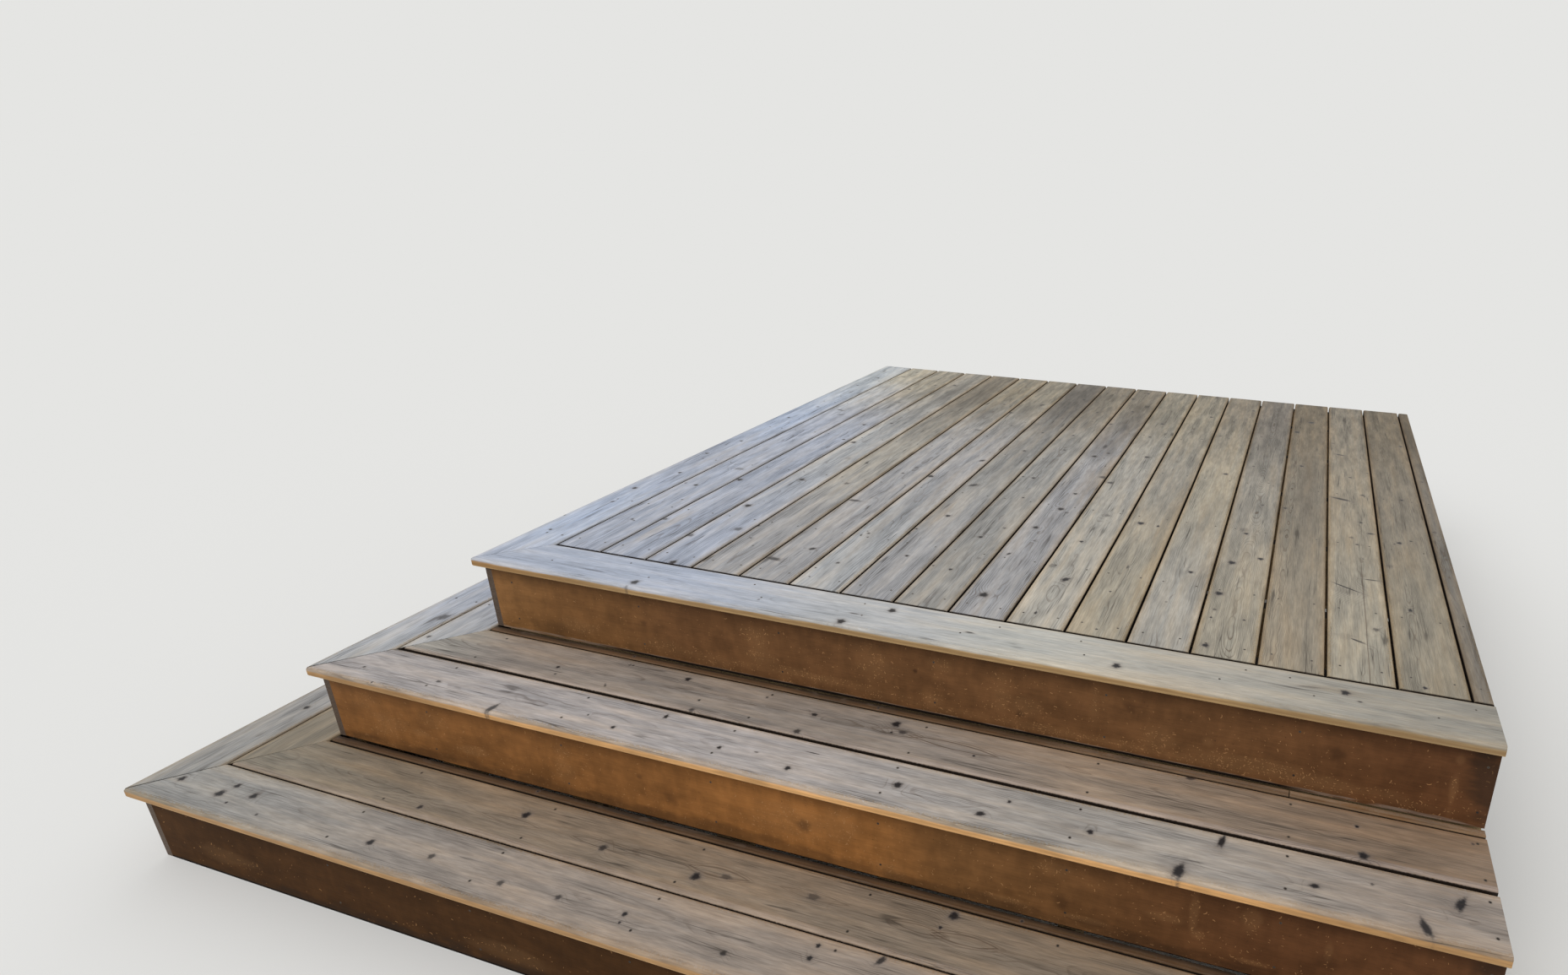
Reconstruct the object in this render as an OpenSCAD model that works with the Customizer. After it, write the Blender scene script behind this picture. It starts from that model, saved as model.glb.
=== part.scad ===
// Low timber deck with two steps that wrap round its front and left side.
// X runs along the front from left to right, Y runs back to the house, Z is up.

/* [Deck boards] */
// Width of a deck or tread board
board_w = 140; // [118:1:190]
// Thickness of a deck or tread board
board_t = 25; // [19:1:38]
// Radius of the eased edges of a board
edge_r = 6; // [2:0.5:8]
// Gap between two deck boards
deck_gap = 5; // [2:0.5:8]
// Width of the ripped board at the right hand end
rip_w = 38; // [38:1:80]
// Depth of the deck from its front edge to the house wall
deck_d = 2410; // [1600:10:3200]
// Gap that the boards keep from the house wall
wall_gap = 5; // [2:1:12]

/* [Steps] */
// Height of each of the three rises
rise = 210; // [195:1:230]
// How far a nosing stands out past its riser
overhang = 20; // [8:1:32]
// Thickness of a riser board
riser_t = 19; // [15:1:25]
// Width of the filler strip behind the front treads
strip_w = 19; // [12:1:45]
// Gap on each side of the filler strip
strip_gap = 4; // [2:0.5:8]
// Gap between the two middle treads along the front
middle_gap = 9; // [2:0.5:14]
// Gap between the two bottom treads along the front
bottom_gap = 3; // [2:0.5:14]
// Gap between the two treads along the left side
left_gap = 3; // [2:0.5:14]
// Gap between the left risers and the treads below them
left_clear = 4; // [2:0.5:8]
// Width of the outer treads on the left side, ripped down
left_outer_w = 126; // [90:1:160]
// Gap in the mitre of the treads at its outer corner
tread_mitre = 4.5; // [1:0.5:6]
// Gap in the mitre of the deck border at its outer corner
border_mitre = 2; // [1:0.5:4]
// Gap that a mitre closes to at its inner corner
mitre_heel = 0.8; // [0.4:0.1:2]
// Distance from the right hand end to the joint in the middle filler strip
strip_joint = 375; // [200:5:1600]
// Gap in that joint
joint_gap = 2; // [1:0.5:6]

/* [Framing] */
// Thickness of joists, rims and stringers
joist_t = 38; // [32:1:50]
// Depth of the deck joists and rims
joist_h = 184; // [140:1:220]
// Depth of the plank that a stringer is cut from
stringer_w = 286; // [260:1:330]
// Distance between the centres of two stringers
stringer_pitch = 406; // [300:1:420]
// Distance between the centres of two deck joists
joist_pitch = 410; // [300:1:420]
// From the ends of the deck boards to the centre of the joist under them
end_hold = 50; // [30:1:80]
// Side of a square post
post_w = 89; // [80:1:120]
// Radius of the eased edges of the framing timber
frame_r = 3; // [1:0.5:6]
// Space that keeps the hip stringer clear of its neighbours
hip_space = 43; // [20:1:60]

/* [Ledger bolts] */
// Diameter of a bolt hole in the ledger
bolt_d = 13; // [8:0.5:18]
// Distance between two columns of bolts
bolt_pitch = 410; // [200:10:460]
// Distance between the two rows of bolts
bolt_rows = 100; // [60:5:120]

/* [Hidden] */
$fn = 48;

// Full width boards between the left border and the ripped board, one node each
full_boards = 16;
// Columns of bolts along the ledger
bolt_columns = 6;
// How far a cutting solid runs past the face it cuts
over = 1;
// How far the plan region of a mitre runs past the boards
reach = 80;

deck_color = [0.76, 0.70, 0.61];
riser_color = [0.42, 0.25, 0.12];
frame_color = [0.62, 0.54, 0.36];

// Levels: step 0 is the deck, 1 the middle step and 2 the bottom step
function top_z(step) = rise * (3 - step);
function seat_z(step) = top_z(step) - board_t;
riser_h = rise - board_t;

// Widths along the deck
board_pitch = board_w + deck_gap;
deck_w = board_pitch + full_boards * board_pitch + rip_w;
board_back = deck_d - wall_gap;

// From a riser's face to the nosing of the tread in front of it
strip_zone = strip_w + 2 * strip_gap;
front_gaps = [0, middle_gap, bottom_gap];
function front_depth(step) = strip_zone + 2 * board_w + front_gaps[step];
left_depth = left_clear + board_w + left_gap + left_outer_w;

// Nosing and riser lines of each step, outward from the deck
function nose_y(step) = step == 0 ? 0 : riser_y(step - 1) - front_depth(step);
function riser_y(step) = nose_y(step) + overhang;
function nose_x(step) = step == 0 ? 0 : riser_x(step - 1) - left_depth;
function riser_x(step) = nose_x(step) + overhang;

// Back faces of the risers, where the framing starts
function cut_y(step) = riser_y(step) + riser_t;
function cut_x(step) = riser_x(step) + riser_t;

// Inner edges of the treads
function inner_y(step) = riser_y(step - 1) - strip_zone;
function inner_x(step) = riser_x(step - 1) - left_clear;

// The deck frame, inside the top risers and against the house wall
frame_x = cut_x(0);
frame_y = cut_y(0);
frame_top = seat_z(0);
frame_foot = frame_top - joist_h;
ledger_y = deck_d - joist_t;

// The posts stand inside the headers, and the one half way along the left side is under a joist
post_x = frame_x + joist_t;
post_y = frame_y + joist_t;
middle_joist = frame_y + round((ledger_y - frame_y) / joist_pitch / 2) * joist_pitch;
middle_post_y = middle_joist + (joist_t - post_w) / 2;

centre = [(nose_x(2) + deck_w) / 2, (nose_y(2) + deck_d) / 2];

// Moves a piece from the deck's front left corner to the middle of the plan
module placed() {
    translate([-centre[0], -centre[1], 0]) children();
}

// Section of a sawn timber with its four edges eased
module section(w, t, r) {
    translate([r, 0]) square([w - 2 * r, t]);
    translate([0, r]) square([w, t - 2 * r]);
    for (x = [r, w - r]) {
        for (y = [r, t - r]) {
            translate([x, y]) circle(r);
        }
    }
}

// Timber along X from its lowest corner
module along_x(corner, length, w, t, r) {
    translate(corner) rotate([90, 0, 90]) linear_extrude(length) section(w, t, r);
}

// Timber along Y from its lowest corner
module along_y(corner, length, w, t, r) {
    translate([corner[0], corner[1] + length, corner[2]])
        rotate([90, 0, 0]) linear_extrude(length) section(w, t, r);
}

// Upright timber from its lowest corner
module upright(corner, length, w, r) {
    translate(corner) linear_extrude(length) section(w, w, r);
}

// Plan region on the front side (side = 1) or left side (side = -1) of a mitre, which is open by
// gap at its outer corner and closes towards its inner one
module mitre_side(inner, outer, gap, side) {
    length = norm(inner - outer);
    across = [inner[1] - outer[1], outer[0] - inner[0]] / length * side / 2;
    start = outer + across * gap;
    end = inner + across * mitre_heel;
    near = start - (end - start) * reach / length;
    far = end + (end - start) * reach / length;
    front_end = [[deck_w + reach, far[1]], [deck_w + reach, near[1]]];
    left_end = [[far[0], deck_d + reach], [near[0], deck_d + reach]];
    polygon(concat([near, far], side > 0 ? front_end : left_end));
}

// Keeps the part of a board on its own side of the mitre
module mitred(inner, outer, gap, side, z) {
    intersection() {
        children();
        translate([0, 0, z - over])
            linear_extrude(board_t + 2 * over) mitre_side(inner, outer, gap, side);
    }
}

// Boards of the deck
module deck_board(i) {
    color(deck_color) placed()
        along_y([(i + 1) * board_pitch, board_pitch, seat_z(0)], board_back - board_pitch,
            board_w, board_t, edge_r);
}

module deck_board_ripped() {
    color(deck_color) placed()
        along_y([(full_boards + 1) * board_pitch, board_pitch, seat_z(0)],
            board_back - board_pitch, rip_w, board_t, edge_r);
}

module deck_border_front() {
    color(deck_color) placed()
        mitred([board_w, board_w], [0, 0], border_mitre, 1, seat_z(0))
            along_x([0, 0, seat_z(0)], deck_w, board_w, board_t, edge_r);
}

module deck_border_left() {
    color(deck_color) placed()
        mitred([board_w, board_w], [0, 0], border_mitre, -1, seat_z(0))
            along_y([0, 0, seat_z(0)], board_back, board_w, board_t, edge_r);
}

// Treads: two boards on each side of a step, mitred where the sides meet
module tread_front(step, y, w) {
    color(deck_color) placed()
        mitred([inner_x(step), inner_y(step)], [nose_x(step), nose_y(step)], tread_mitre, 1,
            seat_z(step))
            along_x([nose_x(step), y, seat_z(step)], deck_w - nose_x(step), w, board_t, edge_r);
}

module tread_left(step, x, w) {
    color(deck_color) placed()
        mitred([inner_x(step), inner_y(step)], [nose_x(step), nose_y(step)], tread_mitre, -1,
            seat_z(step))
            along_y([x, nose_y(step), seat_z(step)], board_back - nose_y(step), w, board_t, edge_r);
}

module tread_front_inner(step) {
    tread_front(step, inner_y(step) - board_w, board_w);
}

module tread_front_outer(step) {
    tread_front(step, nose_y(step), board_w);
}

module tread_left_inner(step) {
    tread_left(step, inner_x(step) - board_w, board_w);
}

module tread_left_outer(step) {
    tread_left(step, nose_x(step), left_outer_w);
}

// Filler strip between a riser and the inner front tread
module filler(step, x0, x1) {
    along_x([x0, riser_y(step - 1) - strip_gap - strip_w, seat_z(step)], x1 - x0, strip_w,
        board_t, frame_r);
}

module middle_filler_strip() {
    color(deck_color) placed() {
        filler(1, riser_x(0), deck_w - strip_joint - joint_gap);
        filler(1, deck_w - strip_joint, deck_w);
    }
}

module bottom_filler_strip() {
    color(deck_color) placed() filler(2, riser_x(1), deck_w);
}

// Risers: the left one runs through to the front and the front one butts against it
module riser_front(step) {
    color(riser_color) placed()
        translate([cut_x(step), riser_y(step), seat_z(step) - riser_h])
            cube([deck_w - cut_x(step), riser_t, riser_h]);
}

module riser_left(step) {
    color(riser_color) placed()
        translate([riser_x(step), riser_y(step), seat_z(step) - riser_h])
            cube([riser_t, board_back - riser_y(step), riser_h]);
}

// Ledger: the deck frame's back member, bolted to the house wall
module bolt_hole(x, z) {
    translate([x, ledger_y - over, z]) rotate([-90, 0, 0])
        cylinder(d = bolt_d, h = joist_t + 2 * over);
}

module ledger_board() {
    first_x = (frame_x + deck_w - (bolt_columns - 1) * bolt_pitch) / 2;
    lower_z = frame_foot + (joist_h - bolt_rows) / 2;
    color(frame_color) placed() difference() {
        translate([frame_x, ledger_y, frame_foot]) cube([deck_w - frame_x, joist_t, joist_h]);
        for (i = [0:bolt_columns - 1]) {
            bolt_hole(first_x + i * bolt_pitch, lower_z);
            bolt_hole(first_x + i * bolt_pitch, lower_z + bolt_rows);
        }
    }
}

module rim_joist_front() {
    color(frame_color) placed()
        along_x([frame_x, frame_y, frame_foot], deck_w - frame_x, joist_t, joist_h, frame_r);
}

module rim_side(x) {
    front = frame_y + joist_t;
    along_y([x, front, frame_foot], ledger_y - front, joist_t, joist_h, frame_r);
}

module rim_joist_left() {
    color(frame_color) placed() rim_side(frame_x);
}

module rim_joist_right() {
    color(frame_color) placed() rim_side(deck_w - joist_t);
}

// Crosswise joists: one flush with the border's inner edge, one near the ends of the boards, and
// the rest at equal centres, counted from the front rim
module deck_joists() {
    border_joist = board_w - joist_t;
    end_joist = board_pitch + end_hold - joist_t / 2;
    rest = [for (y = [frame_y + joist_pitch:joist_pitch:ledger_y - 2 * joist_t]) y];
    left = frame_x + joist_t;
    color(frame_color) placed()
        for (y = concat([border_joist, end_joist], rest)) {
            along_x([left, y, frame_foot], deck_w - joist_t - left, joist_t, joist_h, frame_r);
        }
}

// Headers under the rims, which the stringers hang on
module header_front() {
    color(frame_color) placed()
        along_x([frame_x, frame_y, frame_foot - joist_h], deck_w - frame_x, joist_t, joist_h,
            frame_r);
}

module header_left() {
    front = frame_y + joist_t;
    color(frame_color) placed()
        along_y([frame_x, front, frame_foot - joist_h], board_back - front, joist_t, joist_h,
            frame_r);
}

// Side of a notched stringer: back plumb cut, two treads, two plumb cuts, foot and sloping edge
function stringer_side(back, upper, lower) =
    let (
        slope = rise / (upper - lower),
        drop = stringer_w * sqrt(1 + slope * slope),
        foot = lower + (drop - seat_z(2)) / slope,
        heel = seat_z(2) + (back - lower) * slope - drop
    )
    [[back, seat_z(1)], [upper, seat_z(1)], [upper, seat_z(2)], [lower, seat_z(2)],
        [lower, 0], [foot, 0], [back, heel]];

module stringer_front(x) {
    translate([x, 0, 0]) rotate([90, 0, 90])
        linear_extrude(joist_t) polygon(stringer_side(frame_y, cut_y(1), cut_y(2)));
}

module stringer_left(y) {
    translate([0, y + joist_t, 0]) rotate([90, 0, 0])
        linear_extrude(joist_t) polygon(stringer_side(frame_x, cut_x(1), cut_x(2)));
}

// Starts of the stringers between two limits: at equal centres, and one more at the far end
function on_centres(from, to) =
    concat([for (s = [from:stringer_pitch:to - 3 * joist_t]) s], [to - joist_t]);

// Each run of stringers ends near the mitre in a short block that stands under the bottom tread
module stringers_front() {
    block = [joist_t, cut_y(1) - cut_y(2), seat_z(2)];
    color(frame_color) placed() {
        for (x = on_centres(frame_x + hip_space, deck_w)) {
            stringer_front(x);
        }
        translate([cut_x(1) + joist_t, cut_y(2), 0]) cube(block);
    }
}

module stringers_left() {
    block = [cut_x(1) - cut_x(2), joist_t, seat_z(2)];
    color(frame_color) placed() {
        for (y = on_centres(frame_y + hip_space, board_back)) {
            stringer_left(y);
        }
        translate([cut_x(2), cut_y(1) + joist_t, 0]) cube(block);
    }
}

// Stringer along the mitre, its plumb cuts bevelled to the two risers that meet there
module hip_stringer() {
    corner = [frame_x, frame_y];
    run = [cut_x(2), cut_y(2)] - corner;
    upper = norm([cut_x(1), cut_y(1)] - corner);
    length = norm(run);
    color(frame_color) placed() difference() {
        intersection() {
            translate(corner) rotate([0, 0, atan2(run[1], run[0])])
                translate([0, joist_t / 2, 0]) rotate([90, 0, 0]) linear_extrude(joist_t)
                    polygon(hip_side(upper, length));
            union() {
                translate([cut_x(2), cut_y(2), 0]) cube([length, length, seat_z(2)]);
                translate([cut_x(1), cut_y(1), 0]) cube([length, length, seat_z(1)]);
            }
        }
        translate([frame_x, frame_y, -over]) cube([length, length, seat_z(1) + 2 * over]);
    }
}

// Its side, run out past both ends so that the bevels shape them
function hip_side(upper, length) =
    let (
        slope = rise / (length - upper),
        drop = stringer_w * sqrt(1 + slope * slope),
        foot = length - (drop - seat_z(2)) / slope,
        heel = seat_z(2) + (length + joist_t) * slope - drop
    )
    [[-joist_t, seat_z(1)], [length + joist_t, seat_z(1)], [length + joist_t, 0], [foot, 0],
        [-joist_t, heel]];

// Posts behind the headers, up to the underside of the joists
module post(x, y) {
    color(frame_color) placed() upright([x, y, 0], frame_foot, post_w, frame_r);
}

deck_board(0);  // deck_board_01
deck_board(1);  // deck_board_02
deck_board(2);  // deck_board_03
deck_board(3);  // deck_board_04
deck_board(4);  // deck_board_05
deck_board(5);  // deck_board_06
deck_board(6);  // deck_board_07
deck_board(7);  // deck_board_08
deck_board(8);  // deck_board_09
deck_board(9);  // deck_board_10
deck_board(10);  // deck_board_11
deck_board(11);  // deck_board_12
deck_board(12);  // deck_board_13
deck_board(13);  // deck_board_14
deck_board(14);  // deck_board_15
deck_board(15);  // deck_board_16
deck_board_ripped();
deck_border_front();
deck_border_left();
tread_front_inner(1);  // middle_tread_front_inner
tread_front_outer(1);  // middle_tread_front_outer
tread_left_inner(1);  // middle_tread_left_inner
tread_left_outer(1);  // middle_tread_left_outer
tread_front_inner(2);  // bottom_tread_front_inner
tread_front_outer(2);  // bottom_tread_front_outer
tread_left_inner(2);  // bottom_tread_left_inner
tread_left_outer(2);  // bottom_tread_left_outer
middle_filler_strip();
bottom_filler_strip();
riser_front(0);  // top_riser_front
riser_left(0);  // top_riser_left
riser_front(1);  // middle_riser_front
riser_left(1);  // middle_riser_left
riser_front(2);  // bottom_riser_front
riser_left(2);  // bottom_riser_left
ledger_board();
rim_joist_front();
rim_joist_left();
rim_joist_right();
deck_joists();
header_front();
header_left();
stringers_front();
stringers_left();
hip_stringer();
post(post_x, post_y);  // post_front_left
post((post_x + deck_w - post_w) / 2, post_y);  // post_front_middle
post(deck_w - post_w, post_y);  // post_front_right
post(post_x, middle_post_y);  // post_left_middle
post(post_x, board_back - post_w);  // post_left_back
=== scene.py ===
import bpy
from math import cos, pi, radians
from mathutils import Matrix, Vector


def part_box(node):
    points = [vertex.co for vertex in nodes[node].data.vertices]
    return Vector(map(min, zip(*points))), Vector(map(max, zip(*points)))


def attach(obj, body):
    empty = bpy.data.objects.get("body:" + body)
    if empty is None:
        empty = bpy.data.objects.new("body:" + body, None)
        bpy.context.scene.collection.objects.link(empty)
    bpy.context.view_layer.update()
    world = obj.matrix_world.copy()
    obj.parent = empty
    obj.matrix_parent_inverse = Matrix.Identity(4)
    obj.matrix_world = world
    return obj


# Wooden deck with two steps that wrap round its front and left side.
# Places on boards are in millimetres from the deck's front left corner.

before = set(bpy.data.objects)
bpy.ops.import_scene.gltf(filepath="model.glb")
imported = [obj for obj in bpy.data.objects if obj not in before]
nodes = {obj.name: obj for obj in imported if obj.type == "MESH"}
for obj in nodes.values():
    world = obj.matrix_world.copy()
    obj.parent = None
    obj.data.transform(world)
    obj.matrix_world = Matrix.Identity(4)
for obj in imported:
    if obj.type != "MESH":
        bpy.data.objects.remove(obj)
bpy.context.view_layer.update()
mm = 0.001
print("frame loaded:", len(nodes), "pieces")

# The camera stands at the foot of the steps, as in the photograph
cameraView = {
    "place": (1.0528, -2.4718, 1.6562),
    "right": (0.95656, 0.29088, 0.01968),
    "down": (0.12070, -0.33367, -0.93493),
    "lens": 20.03,
    "shiftX": -0.1685,
    "shiftY": -0.0014,
}


def makeCamera():
    right = Vector(cameraView["right"]).normalized()
    back = right.cross(-Vector(cameraView["down"])).normalized()
    up = back.cross(right)
    data = bpy.data.cameras.new("camera")
    data.sensor_width = 36
    data.lens = cameraView["lens"]
    data.shift_x = cameraView["shiftX"]
    data.shift_y = cameraView["shiftY"]
    camera = bpy.data.objects.new("camera", data)
    turn = Matrix((right, up, back)).transposed().to_4x4()
    camera.matrix_world = Matrix.Translation(cameraView["place"]) @ turn
    bpy.context.scene.collection.objects.link(camera)
    bpy.context.scene.camera = camera


makeCamera()

# Where the boards start: the deck's front left corner, and the two steps' own
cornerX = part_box("deck_border_left")[0].x
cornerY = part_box("deck_border_front")[0].y
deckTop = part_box("deck_board_01")[1].z
levels = {
    "deck": (cornerX, cornerY, deckTop),
    "middle": (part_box("middle_tread_left_outer")[0].x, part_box("middle_tread_front_outer")[0].y,
               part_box("middle_tread_front_outer")[1].z),
    "bottom": (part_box("bottom_tread_left_outer")[0].x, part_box("bottom_tread_front_outer")[0].y,
               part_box("bottom_tread_front_outer")[1].z),
}


# Small helpers for building a material's nodes

def paint(red, green, blue):
    # A colour read in steps of 0 to 255, as a shader takes it
    parts = [step / 255 for step in (red, green, blue)]
    return tuple(p / 12.92 if p < 0.04045 else ((p + 0.055) / 1.055) ** 2.4 for p in parts) + (1,)


def put(tree, socket, value):
    if isinstance(value, bpy.types.NodeSocket):
        tree.links.new(value, socket)
    else:
        socket.default_value = value


def add(tree, kind, values, **settings):
    made = tree.nodes.new("ShaderNode" + kind)
    for name, setting in settings.items():
        setattr(made, name, setting)
    for key, value in values.items():
        put(tree, made.inputs[key], value)
    return made


def calc(tree, operation, *values):
    return add(tree, "Math", dict(enumerate(values)), operation=operation).outputs[0]


def calcVector(tree, operation, *values):
    made = add(tree, "VectorMath", dict(enumerate(values)), operation=operation)
    return made.outputs["Value" if operation in ("LENGTH", "DOT_PRODUCT") else "Vector"]


def fade(tree, value, low, high, least=0, most=1):
    # Goes smoothly from least to most as the value goes from low to high
    values = {"Value": value, "From Min": low, "From Max": high, "To Min": least, "To Max": most}
    return add(tree, "MapRange", values, interpolation_type="SMOOTHSTEP").outputs["Result"]


def blendColour(tree, amount, under, over, how="MIX"):
    made = add(tree, "Mix", {0: amount, 6: under, 7: over}, data_type="RGBA", blend_type=how)
    return made.outputs[2]


def shaded(tree, colour, amount):
    # Darkens or lightens a colour by a factor that changes over the surface
    factor = add(tree, "CombineColor", {0: amount, 1: amount, 2: amount}).outputs[0]
    return blendColour(tree, 1, colour, factor, "MULTIPLY")


def stain(tree, colour, mask, over, amount=1):
    # Lays another colour over one where the mask shows, no stronger than the amount
    strength = mask if amount == 1 else calc(tree, "MULTIPLY", mask, amount)
    return blendColour(tree, strength, colour, over)


def swing(tree, value, low, high, amount):
    # A factor that goes from the amount below 1 to the amount above it
    return fade(tree, value, low, high, 1 - amount, 1 + amount)


def fadeOver(tree, value, span, least=0, most=1):
    # Fades between two places that are given in millimetres
    return fade(tree, value, span[0] * mm, span[1] * mm, least, most)


def noise(tree, place, stretch, detail=2, roughness=0.5):
    sized = calcVector(tree, "MULTIPLY", place, stretch)
    values = {"Vector": sized, "Scale": 1, "Detail": detail, "Roughness": roughness}
    return add(tree, "TexNoise", values).outputs["Fac"]


def newGroup(name, takes, gives):
    group = bpy.data.node_groups.new(name, "ShaderNodeTree")
    for label, kind, start in takes:
        socket = group.interface.new_socket(name=label, in_out="INPUT", socket_type="NodeSocket" + kind)
        socket.default_value = start
    for label in gives:
        group.interface.new_socket(name=label, in_out="OUTPUT", socket_type="NodeSocketFloat")
    source = group.nodes.new("NodeGroupInput")
    sink = group.nodes.new("NodeGroupOutput")
    return group, source.outputs, sink.inputs


def useGroup(tree, group, values):
    made = tree.nodes.new("ShaderNodeGroup")
    made.node_tree = group
    for key, value in values.items():
        put(tree, made.inputs[key], value)
    return made.outputs


nowhere = (0, 0, 0)
farAway = 9  # metres, more than any board is long


knotShape = {
    "rays": 5,
    "broadRays": 3,
    "star": 0.08,
    "ragged": 0.6,
    "startTurn": 90,
    "pushReach": 3.4,
}


# Finds the nearest knot, its darkness, and how far it pushes the growth rings aside
def makeKnotGroup():
    group, takes, gives = newGroup("knot", [
        ("Vector", "Vector", nowhere), ("Place", "Vector", nowhere), ("Size", "Float", 0.007),
        ("Stretch", "Float", 1), ("Turn", "Float", 0), ("Dark", "Float", 1), ("Ragged", "Float", 0),
        ("Near", "Float", farAway), ("Shade", "Float", 0), ("Bulge", "Float", 0),
    ], ["Near", "Shade", "Bulge"])
    length = calc(group, "MULTIPLY", takes["Size"], takes["Stretch"])
    scale = add(group, "CombineXYZ", {"X": length, "Y": takes["Size"], "Z": 1}).outputs[0]
    turn = add(group, "CombineXYZ", {"Z": takes["Turn"]}).outputs[0]
    values = {"Vector": takes["Vector"], "Location": takes["Place"], "Rotation": turn, "Scale": scale}
    local = add(group, "Mapping", values, vector_type="TEXTURE").outputs[0]
    flat = calcVector(group, "MULTIPLY", local, (1, 1, 0))
    smooth = calcVector(group, "LENGTH", flat)
    sides = add(group, "SeparateXYZ", {0: local}).outputs
    angle = calc(group, "ARCTAN2", sides[1], sides[0])
    # Each knot is a slightly ragged star that starts at a turn of its own
    start = calc(group, "MULTIPLY", calcVector(group, "LENGTH", takes["Place"]), knotShape["startTurn"])
    rays = calc(group, "SINE", calc(group, "MULTIPLY_ADD", angle, knotShape["rays"], start))
    broad = calc(group, "SINE", calc(group, "MULTIPLY_ADD", angle, knotShape["broadRays"], start))
    star = calc(group, "MULTIPLY_ADD", calc(group, "ADD", rays, broad), knotShape["star"], 1)
    starred = calc(group, "MULTIPLY", smooth, star)
    away = calc(group, "MULTIPLY_ADD", takes["Ragged"], knotShape["ragged"], starred)
    nearer = calc(group, "LESS_THAN", away, takes["Near"])
    change = calc(group, "SUBTRACT", takes["Dark"], takes["Shade"])
    push = calc(group, "MULTIPLY", fade(group, smooth, knotShape["pushReach"], 0), takes["Size"])
    put(group, gives["Near"], calc(group, "MINIMUM", away, takes["Near"]))
    put(group, gives["Shade"], calc(group, "MULTIPLY_ADD", nearer, change, takes["Shade"]))
    put(group, gives["Bulge"], calc(group, "ADD", push, takes["Bulge"]))
    return group


patchShape = {
    "ragged": 2.2,
    "outside": 1.2,
    "inside": 0.3,
}


# A soft oval patch with a ragged outline, added to the patches before it
def makePatchGroup():
    group, takes, gives = newGroup("patch", [
        ("Vector", "Vector", nowhere), ("Place", "Vector", nowhere), ("Reach", "Vector", (1, 1, 1)),
        ("Ragged", "Float", 0), ("Strength", "Float", 1), ("Before", "Float", 0),
    ], ["After"])
    off = calcVector(group, "SUBTRACT", takes["Vector"], takes["Place"])
    sized = calcVector(group, "DIVIDE", off, takes["Reach"])
    away = calcVector(group, "LENGTH", calcVector(group, "MULTIPLY", sized, (1, 1, 0)))
    ragged = calc(group, "MULTIPLY_ADD", takes["Ragged"], patchShape["ragged"], away)
    soft = fade(group, ragged, patchShape["outside"], patchShape["inside"])
    mask = calc(group, "MULTIPLY", soft, takes["Strength"])
    put(group, gives["After"], calc(group, "MAXIMUM", mask, takes["Before"]))
    return group


flameShape = {
    "ragged": 1.6,
    "outer": 1,
    "inner": 1.5,
    "innerShow": 0.6,
    "tip": 1.25,
}


# Two nested outlines of dark grain that fade out at both ends, added to those before
def makeFlameGroup():
    group, takes, gives = newGroup("flame", [
        ("Vector", "Vector", nowhere), ("Place", "Vector", nowhere), ("Reach", "Vector", (1, 1, 1)),
        ("Turn", "Float", 0), ("Ragged", "Float", 0), ("Strength", "Float", 1), ("Before", "Float", 0),
    ], ["After"])
    turn = add(group, "CombineXYZ", {"Z": takes["Turn"]}).outputs[0]
    values = {
        "Vector": takes["Vector"], "Location": takes["Place"], "Rotation": turn,
        "Scale": takes["Reach"],
    }
    local = add(group, "Mapping", values, vector_type="TEXTURE").outputs[0]
    along, across = add(group, "SeparateXYZ", {0: local}).outputs[:2]
    bent = calc(group, "MULTIPLY_ADD", takes["Ragged"], flameShape["ragged"], across)
    level = calc(group, "MULTIPLY_ADD", along, along, calc(group, "ABSOLUTE", bent))
    offOuter = calc(group, "ABSOLUTE", calc(group, "SUBTRACT", level, flameShape["outer"]))
    offInner = calc(group, "ABSOLUTE", calc(group, "SUBTRACT", level, flameShape["inner"]))
    outer = fade(group, offOuter, 0.2, 0.05)
    inner = fade(group, offInner, 0.16, 0.04, 0, flameShape["innerShow"])
    ends = fade(group, calc(group, "ABSOLUTE", along), flameShape["tip"], 1)
    lines = calc(group, "MULTIPLY", calc(group, "MAXIMUM", outer, inner), ends)
    put(group, gives["After"], calc(group, "MULTIPLY_ADD", lines, takes["Strength"], takes["Before"]))
    return group


grainShape = {
    "skew": (0.4, 0.25, 0.5),
    "wander": (2.2, 4.2, 5),
    "ripple": (20, 30, 30),
    "driftDown": 3,
    "bulge": 0.9,
    "early": 0.22,
    "line": 0.78,
}


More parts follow.
